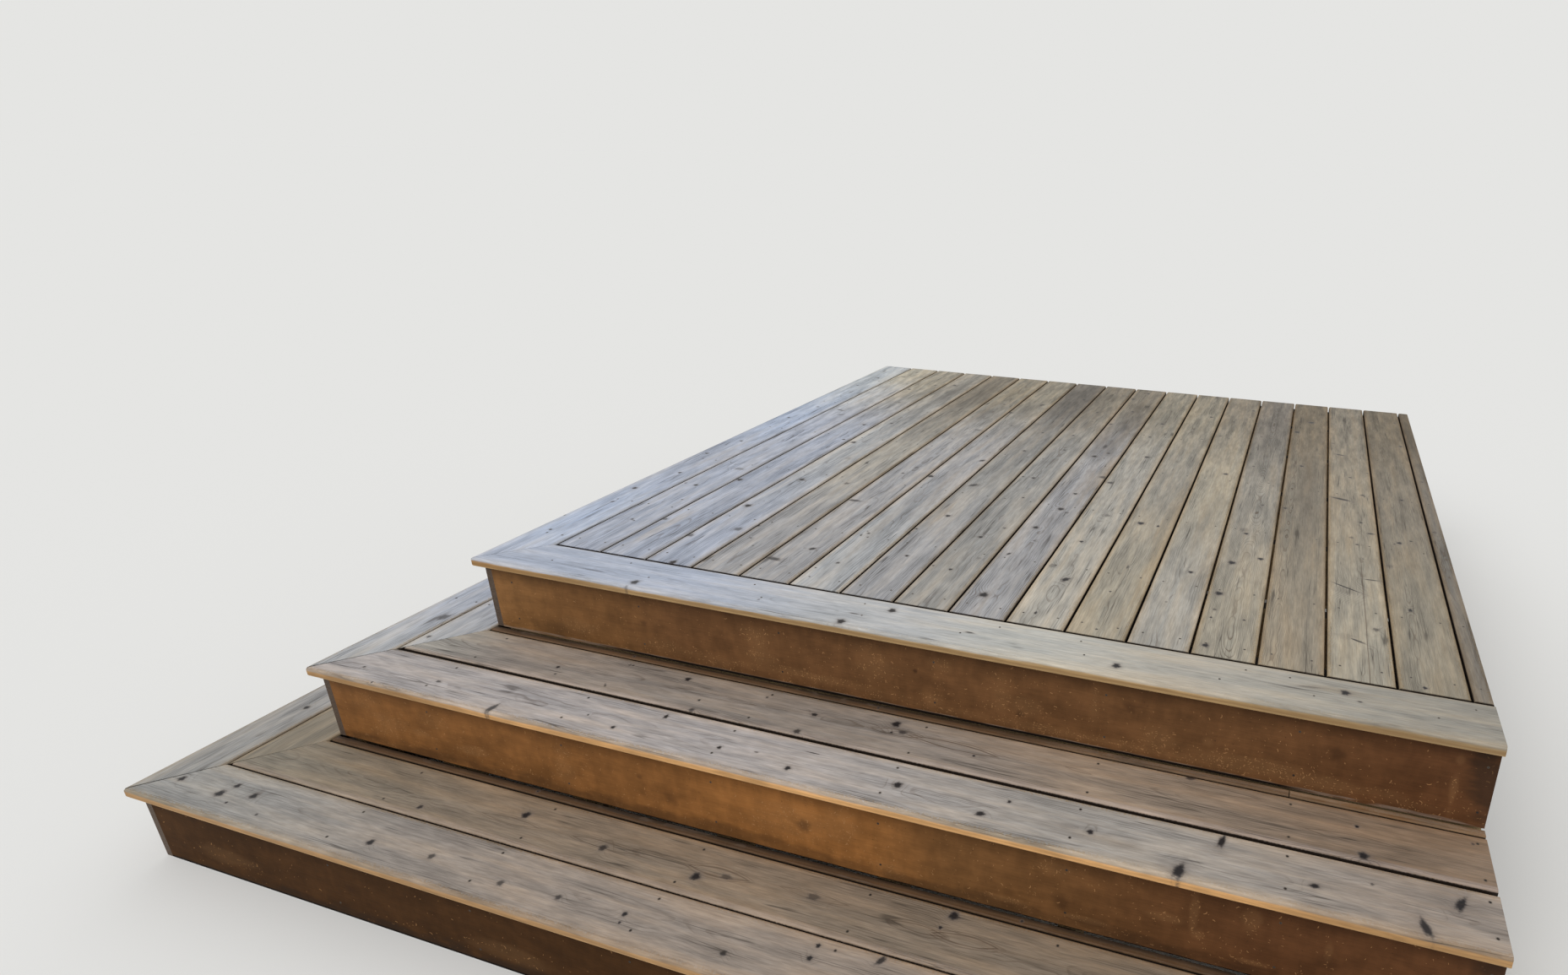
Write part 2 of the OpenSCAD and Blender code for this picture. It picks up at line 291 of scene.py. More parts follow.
# Growth rings round a pith line that runs under the board
def makeGrainGroup():
    group, takes, gives = newGroup("grain", [
        ("Vector", "Vector", nowhere), ("Shift", "Vector", nowhere), ("Pith across", "Float", 0.07),
        ("Pith depth", "Float", -0.05), ("Slope", "Float", 0), ("Ring width", "Float", 0.003),
        ("Wander", "Float", 0.012), ("Ripple", "Float", 0.005), ("Bulge", "Float", 0),
    ], ["Late"])
    moved = calcVector(group, "ADD", takes["Vector"], takes["Shift"])
    along, across, out = add(group, "SeparateXYZ", {0: takes["Vector"]}).outputs
    skewed = add(group, "Mapping", {"Vector": moved, "Rotation": grainShape["skew"]}).outputs[0]
    wander = calc(group, "SUBTRACT", noise(group, skewed, grainShape["wander"], 1), 0.5)
    ripple = calc(group, "SUBTRACT", noise(group, moved, grainShape["ripple"], 1), 0.5)
    drift = calc(group, "MULTIPLY", wander, takes["Wander"])
    lift = calc(group, "MULTIPLY_ADD", along, takes["Slope"], takes["Pith depth"])
    lift = calc(group, "MULTIPLY_ADD", drift, grainShape["driftDown"], lift)
    down = calc(group, "SUBTRACT", out, lift)
    aside = calc(group, "SUBTRACT", calc(group, "ADD", across, drift), takes["Pith across"])
    square = calc(group, "MULTIPLY_ADD", aside, aside, calc(group, "MULTIPLY", down, down))
    reach = calc(group, "MULTIPLY_ADD", ripple, takes["Ripple"], calc(group, "SQRT", square))
    pushed = calc(group, "MULTIPLY_ADD", takes["Bulge"], grainShape["bulge"], reach)
    step = calc(group, "FRACT", calc(group, "DIVIDE", pushed, takes["Ring width"]))
    # Slowly darker through the ring, with a thin dark line at its end
    slowly = fade(group, step, 0.3, 0.9, 0, grainShape["early"])
    line = fade(group, step, 0.70, 0.86, 0, grainShape["line"])
    late = calc(group, "MULTIPLY", calc(group, "ADD", slowly, line), fade(group, step, 1, 0.94))
    put(group, gives["Late"], late)
    return group


weatherShape = {
    "streak": 0.16,
    "start": 0.24,
    "perAmount": -0.34,
}


# Grey weathering in long patches, streaked along the fibre
def makeWeatherGroup():
    group, takes, gives = newGroup("weather", [
        ("Cloud", "Float", 0), ("Streak", "Float", 0.5), ("Amount", "Float", 0.4), ("Patch", "Float", 0),
    ], ["Grey", "Patchy"])
    mixed = calc(group, "MULTIPLY_ADD", takes["Streak"], weatherShape["streak"], takes["Cloud"])
    level = calc(group, "MULTIPLY_ADD", takes["Amount"], weatherShape["perAmount"], weatherShape["start"])
    put(group, gives["Grey"], fade(group, calc(group, "SUBTRACT", mixed, level), -0.12, 0.16))
    broken = fade(group, takes["Streak"], 0.25, 0.7, 0.75, 1.15)
    put(group, gives["Patchy"], calc(group, "MULTIPLY", takes["Patch"], broken))
    return group


faceShape = {  # from the depth or the distance where each begins to where it is full, in millimetres
    "top": (-5, -1.5),
    "edge": (22, 4),
    "rim": (10, 3),
    "side": (-2, -3.8),
    "unevenDepth": 4,
    "unevenEdge": 30,
}


# Which part of a board is sanded top, eased edge or side, by depth and distance from its edges
def makeFaceGroup():
    group, takes, gives = newGroup("board face", [
        ("Vector", "Vector", nowhere), ("Uneven", "Float", 0), ("Left", "Float", 0),
        ("Width", "Float", 0.14),
    ], ["Top", "Edge", "Rim", "Side"])
    across, out = add(group, "SeparateXYZ", {0: takes["Vector"]}).outputs[1:]
    left = calc(group, "SUBTRACT", across, takes["Left"])
    near = calc(group, "MINIMUM", left, calc(group, "SUBTRACT", takes["Width"], left))
    depth = calc(group, "MULTIPLY_ADD", takes["Uneven"], faceShape["unevenDepth"] * mm, out)
    rim = calc(group, "MULTIPLY_ADD", takes["Uneven"], faceShape["unevenEdge"] * mm, near)
    put(group, gives["Top"], fadeOver(group, depth, faceShape["top"]))
    put(group, gives["Edge"], fadeOver(group, rim, faceShape["edge"]))
    put(group, gives["Rim"], fadeOver(group, rim, faceShape["rim"]))
    put(group, gives["Side"], fadeOver(group, out, faceShape["side"]))
    return group


checkShape = {
    "ridge": (2.4, 120, 30),
    "gate": (6, 45, 20),
    "gateShare": 0.5,
    "start": 0.42,
    "perAmount": -0.28,
}


# Fine dark drying cracks that follow the fibre
def makeCheckGroup():
    group, takes, gives = newGroup("checks", [
        ("Vector", "Vector", nowhere), ("Cloud", "Float", 0), ("Amount", "Float", 0.5),
    ], ["Crack"])
    ridge = noise(group, takes["Vector"], checkShape["ridge"], 0)
    line = fade(group, calc(group, "ABSOLUTE", calc(group, "SUBTRACT", ridge, 0.5)), 0.035, 0.008)
    patchy = noise(group, takes["Vector"], checkShape["gate"], 0)
    gate = calc(group, "MULTIPLY_ADD", patchy, checkShape["gateShare"], takes["Cloud"])
    level = calc(group, "MULTIPLY_ADD", takes["Amount"], checkShape["perAmount"], checkShape["start"])
    shown = fade(group, calc(group, "SUBTRACT", gate, level), 0, 0.08)
    put(group, gives["Crack"], calc(group, "MULTIPLY", line, shown))
    return group


nickShape = {  # in shares of a cell
    "length": 0.15,
    "longer": 0.35,
    "outside": 0.11,
    "inside": 0.04,
}


# Pale nicks where the stain has been rubbed through: in each small cell a short bent stroke
def makeNickGroup():
    group, takes, gives = newGroup("nicks", [
        ("Vector", "Vector", nowhere), ("Cells", "Float", 110), ("Where", "Float", 0),
    ], ["Nick"])
    sized = calcVector(group, "MULTIPLY", takes["Vector"], (1, 1, 0))
    cells = add(group, "TexVoronoi", {"Vector": sized, "Scale": takes["Cells"]}, voronoi_dimensions="2D")
    middle = calcVector(group, "SUBTRACT", sized, cells.outputs["Position"])
    chance = add(group, "SeparateColor", {0: cells.outputs["Color"]}).outputs
    grown = add(group, "VectorMath", {0: middle, "Scale": takes["Cells"]}, operation="SCALE").outputs[0]
    angle = calc(group, "MULTIPLY", chance[0], pi)
    values = {"Vector": grown, "Angle": angle}
    turned = add(group, "VectorRotate", values, rotation_type="Z_AXIS").outputs[0]
    along, across = add(group, "SeparateXYZ", {0: turned}).outputs[:2]
    bend = calc(group, "MULTIPLY", calc(group, "MULTIPLY", along, along), chance[2])
    off = calc(group, "ABSOLUTE", calc(group, "ADD", across, bend))
    length = calc(group, "MULTIPLY_ADD", chance[2], nickShape["longer"], nickShape["length"])
    reach = calc(group, "DIVIDE", calc(group, "ABSOLUTE", along), length)
    thin = fade(group, off, nickShape["outside"], nickShape["inside"])
    stroke = calc(group, "MULTIPLY", thin, fade(group, reach, 1, 0.7))
    shown = calc(group, "LESS_THAN", chance[1], takes["Where"])
    put(group, gives["Nick"], calc(group, "MULTIPLY", stroke, shown))
    return group


# Painted shade and stain round the screws, which stand in two rows on known lines across a board
def makeScrewShadeGroup(name, lines):
    group, takes, gives = newGroup(name, [
        ("Vector", "Vector", nowhere), ("First row", "Float", 0), ("Second row", "Float", 0),
    ], ["Shade"])
    along, across = add(group, "SeparateXYZ", {0: takes["Vector"]}).outputs[:2]
    offLine = farAway
    for line in lines:
        off = calc(group, "ABSOLUTE", calc(group, "SUBTRACT", along, line * mm))
        offLine = calc(group, "MINIMUM", off, offLine)
    first = calc(group, "ABSOLUTE", calc(group, "SUBTRACT", across, takes["First row"]))
    second = calc(group, "ABSOLUTE", calc(group, "SUBTRACT", across, takes["Second row"]))
    offRow = calc(group, "MINIMUM", first, second)
    square = calc(group, "MULTIPLY_ADD", offRow, offRow, calc(group, "MULTIPLY", offLine, offLine))
    put(group, gives["Shade"], fadeOver(group, calc(group, "SQRT", square), screwPlan["shadeReach"]))
    return group


# Screw lines: over the deck joists, over the stringers, and along the border
screwPlan = {
    "joistLines": [195] + [468 + 410 * k for k in range(5)] + [2388],
    "stringerLines": [101 + 406 * k for k in range(6)] + [2484],
    "deckInset": 27,
    "borderRows": (58, 111),
    "borderOuter": [212, 517, 847, 1120, 1370, 1663, 1958, 2150, 2388],
    "borderInner": [417, 792, 1100, 1447, 1642, 2008, 2100, 2463],
    "outerRows": (36, 118),
    "riserRows": (35, 144),
    "shadeReach": (5.5, 2),
    "endRoom": 10,
}

knotGroup = makeKnotGroup()
patchGroup = makePatchGroup()
flameGroup = makeFlameGroup()
grainGroup = makeGrainGroup()
weatherGroup = makeWeatherGroup()
faceGroup = makeFaceGroup()
checkGroup = makeCheckGroup()
nickGroup = makeNickGroup()
deckShade = makeScrewShadeGroup("deck screw shade", screwPlan["joistLines"])
stepShade = makeScrewShadeGroup("step screw shade", screwPlan["stringerLines"])
print("shader groups made")

axes = {"x": Vector((1, 0, 0)), "y": Vector((0, 1, 0)), "z": Vector((0, 0, 1))}


def boardSpace(tree, directions, start):
    # x runs along the board, y across it and z out of its face
    rows = [axes[d[-1]] * (-1 if d[0] == "-" else 1) for d in directions]
    turn = Matrix(rows)
    flip = Vector((-1 if turn.determinant() < 0 else 1, 1, 1))
    values = {
        "Vector": add(tree, "TexCoord", {}).outputs["Object"],
        "Location": -(turn @ Vector(start)),
        "Rotation": (turn @ Matrix.Diagonal(flip)).to_euler(),
        "Scale": flip,
    }
    return add(tree, "Mapping", values).outputs[0]


def endMask(tree, direction):
    # 1 on faces cut across the board, its ends and mitres
    normal = add(tree, "TexCoord", {}).outputs["Normal"]
    turned = calcVector(tree, "DOT_PRODUCT", normal, tuple(axes[direction[-1]]))
    return fade(tree, calc(tree, "ABSOLUTE", turned), 0.45, 0.6)


def newMaterial(name):
    material = bpy.data.materials.new(name)
    material.use_nodes = True
    return material, material.node_tree, material.node_tree.nodes["Principled BSDF"].inputs


def dress(name, material):
    slots = nodes[name].data.materials
    slots.clear()
    slots.append(material)


def seedShift(seed):
    return (seed * 3.7, seed * 1.3, seed * 2.1)


def toneAlong(tree, along, tones, places, palette):
    # A piece's colour, from the tones at a few places along it
    colour = paint(*palette[tones[0]])
    for i in range(1, len(tones)):
        amount = fade(tree, along, places[i - 1] * mm, places[i] * mm)
        colour = blendColour(tree, amount, colour, paint(*palette[tones[i]]))
    return colour


def layKnots(tree, space, ragged, knots):
    # Knots are (along, across, radius, darkness, stretch, turn in degrees), of which a round knot
    # leaves out the last two
    state = {"Near": farAway, "Shade": 0.0, "Bulge": 0.0}
    for knot in knots:
        along, across, radius, dark, stretch, turn = (knot + (1, 0))[:6]
        made = useGroup(tree, knotGroup, {
            "Vector": space, "Place": (along * mm, across * mm, 0), "Size": radius * mm,
            "Stretch": stretch, "Turn": radians(turn), "Dark": dark, "Ragged": ragged, **state,
        })
        state = {key: made[key] for key in state}
    return state


def layPatches(tree, space, ragged, patches):
    # Patches are (along, across, half length, half width, strength)
    mask = 0.0
    for along, across, length, width, strength in patches:
        mask = useGroup(tree, patchGroup, {
            "Vector": space, "Place": (along * mm, across * mm, 0), "Reach": (length * mm, width * mm, 1),
            "Ragged": ragged, "Strength": strength, "Before": mask,
        })["After"]
    return mask


def layFlames(tree, space, ragged, flames):
    # Flames are (along, across, half length, half width, strength, turn in degrees)
    lines = 0.0
    for along, across, length, width, strength, turn in flames:
        lines = useGroup(tree, flameGroup, {
            "Vector": space, "Place": (along * mm, across * mm, 0), "Reach": (length * mm, width * mm, 1),
            "Turn": radians(turn), "Ragged": ragged, "Strength": strength, "Before": lines,
        })["After"]
    return lines


# The tones that the sanded boards have weathered to; the bluish ones are partly a painted reflection of the
# sky
boardTones = {
    "frostSheen": (170, 178, 194),
    "silverSheen": (163, 170, 185),
    "iceSheen": (167, 179, 200),
    "glazeSheen": (178, 184, 189),
    "mist": (176, 178, 180),
    "pearl": (167, 169, 171),
    "chalk": (176, 176, 171),
    "ash": (157, 157, 159),
    "cloud": (148, 147, 144),
    "linen": (167, 163, 154),
    "stone": (157, 154, 147),
    "straw": (169, 164, 150),
    "sand": (155, 149, 135),
    "dune": (146, 142, 133),
    "clay": (144, 136, 121),
    "hay": (139, 133, 119),
    "bark": (129, 122, 109),
    "slate": (119, 114, 106),
    "umber": (113, 104, 88),
    "rose": (166, 161, 160),
    "fawn": (148, 138, 129),
    "pebble": (160, 155, 149),
    "driftwood": (141, 133, 126),
    "oat": (149, 134, 119),
    "cocoa": (134, 121, 106),
    "walnut": (90, 71, 53),
    "hazel": (134, 115, 97),
    "sepia": (120, 102, 86),
    "bran": (128, 111, 95),
    "peat": (94, 86, 72),
}

# Colours and tints that all the walking boards share
boardFinish = {
    "ring": (92, 77, 64),
    "knot": (68, 63, 61),
    "knotCore": (35, 32, 33),
    "halo": (112, 103, 97),
    "crack": (52, 45, 39),
    "edgeTan": (170, 142, 102),
    # Near-black painted shade and dirt for the sides and ends in the gaps and the back of the strips
    "gap": (34, 25, 18),
    "underside": (148, 120, 84),
    "end": (126, 104, 78),
    "endRing": (84, 64, 44),
    "noseFoot": (190, 158, 112),
    "noseStreak": (128, 98, 62),
    "screwShadeAndStain": (70, 60, 52),
    "edgeHighlightColour": (168, 156, 150),
}
boardTints = {  # linear factors on a board's own tone
    "cool": (0.75, 0.77, 0.79, 1),
    "grey": (0.62, 0.62, 0.63, 1),
    "rust": (0.86, 0.70, 0.48, 1),
    "brown": (0.84, 0.72, 0.56, 1),
    "warm": (1.12, 1.0, 0.86, 1),
}

noseTones = {
    "ginger": (158, 120, 72),
    "tan": (168, 138, 96),
    "dun": (148, 124, 89),
    "apricot": (212, 163, 108),
    "oak": (170, 132, 88),
}

boardDefaults = {
    "directions": ("y", "x", "z"),
    "start": levels["deck"],
    "left": 0,  # its edge nearest to the start
    "width": 140,
    "places": (300, 1150, 2150),  # where along the board each of its tones lies
    "grey": 0.35,
    "pith": (70, -50, 0),  # across, depth and slope of the line that the rings run round
    "ringWidth": 4.5,
    "ringShow": 0.35,
    "ringEven": 0.15,  # how much the rings show outside their patches
    "wander": 12,
    "ripple": 4,
    "knots": [],
    "greys": [],
    "browns": [],
    "splits": [],
    "flames": [],
    "seam": None,  # where across the board the wood turns tan
    "edgeHighlight": 0,
    "shadeAndDirtBack": 0,
    "darkUntil": 9000,  # the back is less dark past this place along
    "edge": 0.6,  # how much tan stain is left on the edges
    "nose": None,
    "nosePlaces": (0, 500, 1900, 2450),
    "noseLine": 0.55,
    "screws": None,
    "hole": 0.4,  # how dark the wood is round its screws
    "checks": 0.5,
    "blotch": 0.13,
    "farBlotch": 0.13,
}

boardColours = {key: paint(*value) for key, value in boardFinish.items()}

# How strongly each effect shows on a walking board
boardAmounts = {
    "streak": 0.08,
    "fibre": 0.13,
    "cloud": 0.08,
    "warm": 0.75,
    "edgeWarm": 0.30,
    "cool": 0.34,
    "leastRust": 0.58,
    "mostRust": 1.2,
    "seam": 0.25,
    "lighterBack": 0.15,
    "mostRing": 1.2,
    "halo": 0.4,
    "fullKnot": 0.85,
    "crack": 0.6,
    "split": 0.7,
    "leastTan": 0.25,
    "noseFoot": 0.8,
    "roughness": 0.60,
    "greyRoughness": 0.10,
    "knotRoughness": -0.12,
    "splitDepth": -1.5,
    "bump": 0.25,
    "gloss": 0.25,
}

# How fast each noise changes along, across and through a board
boardNoise = {
    "ragged": (190, 260, 260),
    "cloud": (2.7, 28, 28),
    "streak": (5, 140, 90),
    "fibre": (26, 330, 330),
    "blotch": (9, 48, 48),
}

# Heights above the top of a board between which a colour changes, in millimetres
boardHeights = {
    "rounded": (-4.5, 1),
    "streakTop": (-3, -8),
    "streakFoot": (-14, -11),
    "noseFoot": (-19, -23),
    "underside": (-24.3, -24.8),
    "end": (-1, -2.5),
}


def woodShade(tree, look, marks):
    # Lighter and darker by streak, fibre, cloud and blotch
    streaky = swing(tree, marks["streak"], 0.25, 0.75, boardAmounts["streak"])
    fibrous = swing(tree, marks["fibre"], 0.25, 0.75, boardAmounts["fibre"])
    cloudy = swing(tree, marks["cloud"], -0.2, 0.2, -boardAmounts["cloud"])
    shade = calc(tree, "MULTIPLY", calc(tree, "MULTIPLY", streaky, fibrous), cloudy)
    blotch = fade(tree, marks["blotch"], 0.3, 0.7, -1, 1)
    spread = fadeOver(tree, marks["along"], (900, 2100), look["blotch"], look["farBlotch"])
    return calc(tree, "MULTIPLY", shade, calc(tree, "MULTIPLY_ADD", blotch, spread, 1))


def knotHeart(tree, knots):
    # How far a knot covers the wood, and its colour, which is darkest in the middle
    inside = fade(tree, knots["Near"], 1.1, 0.5)
    core = calc(tree, "MULTIPLY", inside, fade(tree, knots["Shade"], 0, boardAmounts["fullKnot"]))
    middle = fade(tree, knots["Near"], 0.35, 0.8)
    return core, blendColour(tree, middle, boardColours["knotCore"], boardColours["knot"])


def splitMask(tree, marks, splits):
    # Long open splits are (across, start, end)
    cut = 0.0
    for at, start, end in splits:
        bent = calc(tree, "MULTIPLY_ADD", marks["cloud"], 0.006, marks["across"])
        off = calc(tree, "ABSOLUTE", calc(tree, "SUBTRACT", bent, at * mm))
        reach = calc(tree, "MULTIPLY", fadeOver(tree, marks["along"], (start - 10, start)),
                     fadeOver(tree, marks["along"], (end, end - 300)))
        cut = calc(tree, "MAXIMUM", calc(tree, "MULTIPLY", fadeOver(tree, off, (2, 0.4)), reach), cut)
    return cut


def boardMarks(tree, look, shift):
    # What is drawn on a board, as masks and values over its surface
    space = boardSpace(tree, look["directions"], look["start"])
    moved = calcVector(tree, "ADD", space, shift)
    along, across, out = add(tree, "SeparateXYZ", {0: space}).outputs
    ragged = calc(tree, "SUBTRACT", noise(tree, moved, boardNoise["ragged"], 2, 0.6), 0.5)
    cloud = calc(tree, "SUBTRACT", noise(tree, moved, boardNoise["cloud"], 3, 0.6), 0.5)
    streak = noise(tree, moved, boardNoise["streak"], 2, 0.6)
    knots = layKnots(tree, space, ragged, look["knots"])
    pithAcross, pithDepth, pithSlope = look["pith"]
    marks = {
        "space": space, "along": along, "across": across, "out": out,
        "cloud": cloud, "streak": streak, "knots": knots,
        "fibre": noise(tree, moved, boardNoise["fibre"], 2, 0.6),
        "blotch": noise(tree, moved, boardNoise["blotch"], 2, 0.65),
        "browns": layPatches(tree, space, cloud, look["browns"]),
        "face": useGroup(tree, faceGroup, {
            "Vector": space, "Uneven": ragged, "Left": look["left"] * mm, "Width": look["width"] * mm,
        }),
        "rings": useGroup(tree, grainGroup, {
            "Vector": space, "Shift": shift, "Pith across": (look["left"] + pithAcross) * mm,
            "Pith depth": pithDepth * mm, "Slope": pithSlope * mm, "Ring width": look["ringWidth"] * mm,
            "Wander": look["wander"] * mm, "Ripple": look["ripple"] * mm, "Bulge": knots["Bulge"],
        })["Late"],
        "weather": useGroup(tree, weatherGroup, {
            "Cloud": cloud, "Streak": streak, "Amount": look["grey"],
            "Patch": layPatches(tree, space, cloud, look["greys"]),
        }),
        "crack": useGroup(tree, checkGroup, {
            "Vector": moved, "Cloud": cloud, "Amount": look["checks"],
        })["Crack"],
    }
    marks["shade"] = woodShade(tree, look, marks)
    marks["core"], marks["heart"] = knotHeart(tree, knots)
    marks["cut"] = splitMask(tree, marks, look["splits"])
    return marks


def weatheredWood(tree, look, marks):
    # The sanded top in its own tones: warmer at the edges, greyer in patches, rusty on the rim
    cloud = marks["cloud"]
    edge = look["edge"]
    colour = toneAlong(tree, marks["along"], look["tones"], look["places"], boardTones)
    nearEdge = calc(tree, "MULTIPLY", marks["face"]["Edge"], boardAmounts["edgeWarm"] * edge)
    warmth = calc(tree, "SUBTRACT", nearEdge, cloud)
    rust = fade(tree, cloud, -0.12, 0.1, boardAmounts["leastRust"] * edge, boardAmounts["mostRust"] * edge)
    masks = {
        "warm": fade(tree, warmth, -0.12, 0.28, 0, boardAmounts["warm"]),
        "cool": calc(tree, "MULTIPLY", marks["weather"]["Grey"], boardAmounts["cool"]),
        "grey": marks["weather"]["Patchy"],
        "brown": marks["browns"],
        "rust": calc(tree, "MULTIPLY", marks["face"]["Rim"], rust),
    }
    for kind, mask in masks.items():
        colour = blendColour(tree, mask, colour, boardTints[kind], "MULTIPLY")
    return colour


def lengthwiseBands(tree, look, marks, colour):
    left = look["left"]
    if look["seam"]:
        # The wood is tan behind its heart line and greyer in front of it
        bent = calc(tree, "MULTIPLY_ADD", marks["cloud"], 0.05, marks["across"])
        tan = fadeOver(tree, bent, (look["seam"] - 5, look["seam"] + 5), 0, boardAmounts["seam"])
        colour = blendColour(tree, tan, colour, boardTints["warm"], "MULTIPLY")
    # A painted highlight along the eased edge at the board's left
    if look["edgeHighlight"]:
        rim = fadeOver(tree, marks["across"], (left + 15, left + 7), 0, look["edgeHighlight"])
        colour = stain(tree, colour, rim, boardColours["edgeHighlightColour"])
    if look["shadeAndDirtBack"]:
        # Painted shade and dirt lie against the riser, less of them past a place along the strip
        back = fadeOver(tree, marks["across"], (left + 6, left + 15), 0, look["shadeAndDirtBack"])
        cleaner = (look["darkUntil"], look["darkUntil"] + 500)
        dirt = fadeOver(tree, marks["along"], cleaner, 1, boardAmounts["lighterBack"])
        colour = stain(tree, colour, calc(tree, "MULTIPLY", back, dirt), boardColours["gap"])
    return colour


def grainMask(tree, look, marks):
    # Growth rings that show in patches, and flames where the board is cut flat
    showing = fade(tree, marks["cloud"], -0.06, 0.14, look["ringEven"], boardAmounts["mostRing"])
    grain = calc(tree, "MULTIPLY", marks["rings"], calc(tree, "MULTIPLY", showing, look["ringShow"]))
    if look["flames"]:
        flames = layFlames(tree, marks["space"], marks["cloud"], look["flames"])
        grain = calc(tree, "MAXIMUM", grain, flames)
    return grain


def boardFlaws(tree, look, marks, colour):
    # Knots with their halos, drying cracks, open splits, and painted shade and stain round the screws
    knots = marks["knots"]
    halo = calc(tree, "MULTIPLY", fade(tree, knots["Near"], 1.9, 0.7), knots["Shade"])
    colour = stain(tree, colour, halo, boardColours["halo"], boardAmounts["halo"])
    colour = stain(tree, colour, marks["core"], marks["heart"])
    colour = stain(tree, colour, marks["crack"], boardColours["crack"], boardAmounts["crack"])
    if look["splits"]:
        colour = stain(tree, colour, marks["cut"], boardColours["ring"], boardAmounts["split"])
    if look["screws"]:
        group, first, second = look["screws"]
        hole = useGroup(tree, group, {
            "Vector": marks["space"], "First row": first * mm, "Second row": second * mm,
        })["Shade"]
        colour = stain(tree, colour, hole, boardColours["screwShadeAndStain"], look["hole"])
    return colour


def noseFinish(tree, look, marks, lined):
    # A nosing has tones of its own, a dark streak along it and a paler foot
    nose = toneAlong(tree, marks["along"], look["nose"], look["nosePlaces"], noseTones)
    nose = shaded(tree, nose, marks["shade"])
    streak = calc(tree, "MULTIPLY", fadeOver(tree, lined, boardHeights["streakTop"]),
                  fadeOver(tree, lined, boardHeights["streakFoot"]))
    nose = stain(tree, nose, streak, boardColours["noseStreak"], look["noseLine"])
    foot = fadeOver(tree, marks["out"], boardHeights["noseFoot"], 0, boardAmounts["noseFoot"])
    nose = stain(tree, nose, foot, boardColours["noseFoot"])
    return stain(tree, nose, marks["core"], marks["heart"])


def boardSides(tree, look, marks, colour):
    # Tan stain is left on the eased edges, and the sides in the gaps are near-black with painted shade and
    # dirt
    tan = boardAmounts["leastTan"] + (1 - boardAmounts["leastTan"]) * look["edge"]
    side = blendColour(tree, tan, colour, boardColours["edgeTan"])
    side = stain(tree, side, marks["face"]["Side"], boardColours["gap"])
    top = marks["face"]["Top"]
    if look["nose"]:
        front = fadeOver(tree, marks["across"], (look["left"] + 20, look["left"] + 8))
        lined = calc(tree, "MULTIPLY_ADD", marks["streak"], 0.012, marks["out"])
        side = stain(tree, side, front, noseFinish(tree, look, marks, lined))
        # The round of a nosing is as pale as the top
        rounded = calc(tree, "MULTIPLY", fadeOver(tree, lined, boardHeights["rounded"]), front)
        top = calc(tree, "MAXIMUM", top, rounded)
    under = fadeOver(tree, marks["out"], boardHeights["underside"])
    side = stain(tree, side, under, boardColours["underside"])
    return blendColour(tree, top, side, colour)


def boardEnds(tree, look, marks, colour):
    # Ends that face the gaps are as dark as the sides, with painted shade and dirt; the far ends show their
    # rings
    ends = stain(tree, boardColours["end"], marks["rings"], boardColours["endRing"])
    ends = stain(tree, ends, fadeOver(tree, marks["along"], (1200, 1000)), boardColours["gap"])
    below = fadeOver(tree, marks["out"], boardHeights["end"])
    ending = calc(tree, "MULTIPLY", endMask(tree, look["directions"][0]), below)
    return stain(tree, colour, ending, ends)


def finishBoard(name, seed, given):
    look = dict(boardDefaults, **given)
    material, tree, shader = newMaterial(name)
    marks = boardMarks(tree, look, seedShift(seed))
    colour = weatheredWood(tree, look, marks)
    colour = lengthwiseBands(tree, look, marks, colour)
    colour = stain(tree, colour, grainMask(tree, look, marks), boardColours["ring"])
    colour = shaded(tree, colour, marks["shade"])
    colour = boardFlaws(tree, look, marks, colour)
    colour = boardSides(tree, look, marks, colour)
    colour = boardEnds(tree, look, marks, colour)

    greyRoughness = (marks["weather"]["Grey"], boardAmounts["greyRoughness"], boardAmounts["roughness"])
    roughness = calc(tree, "MULTIPLY_ADD", *greyRoughness)
    roughness = calc(tree, "MULTIPLY_ADD", marks["core"], boardAmounts["knotRoughness"], roughness)
    height = marks["fibre"]
    if look["splits"]:
        height = calc(tree, "MULTIPLY_ADD", marks["cut"], boardAmounts["splitDepth"], height)
    bump = add(tree, "Bump", {"Height": height, "Strength": boardAmounts["bump"], "Distance": 0.0006})
    shader["Specular IOR Level"].default_value = boardAmounts["gloss"]
    put(tree, shader["Base Color"], colour)
    put(tree, shader["Roughness"], roughness)
    put(tree, shader["Normal"], bump.outputs[0])
    dress(name, material)
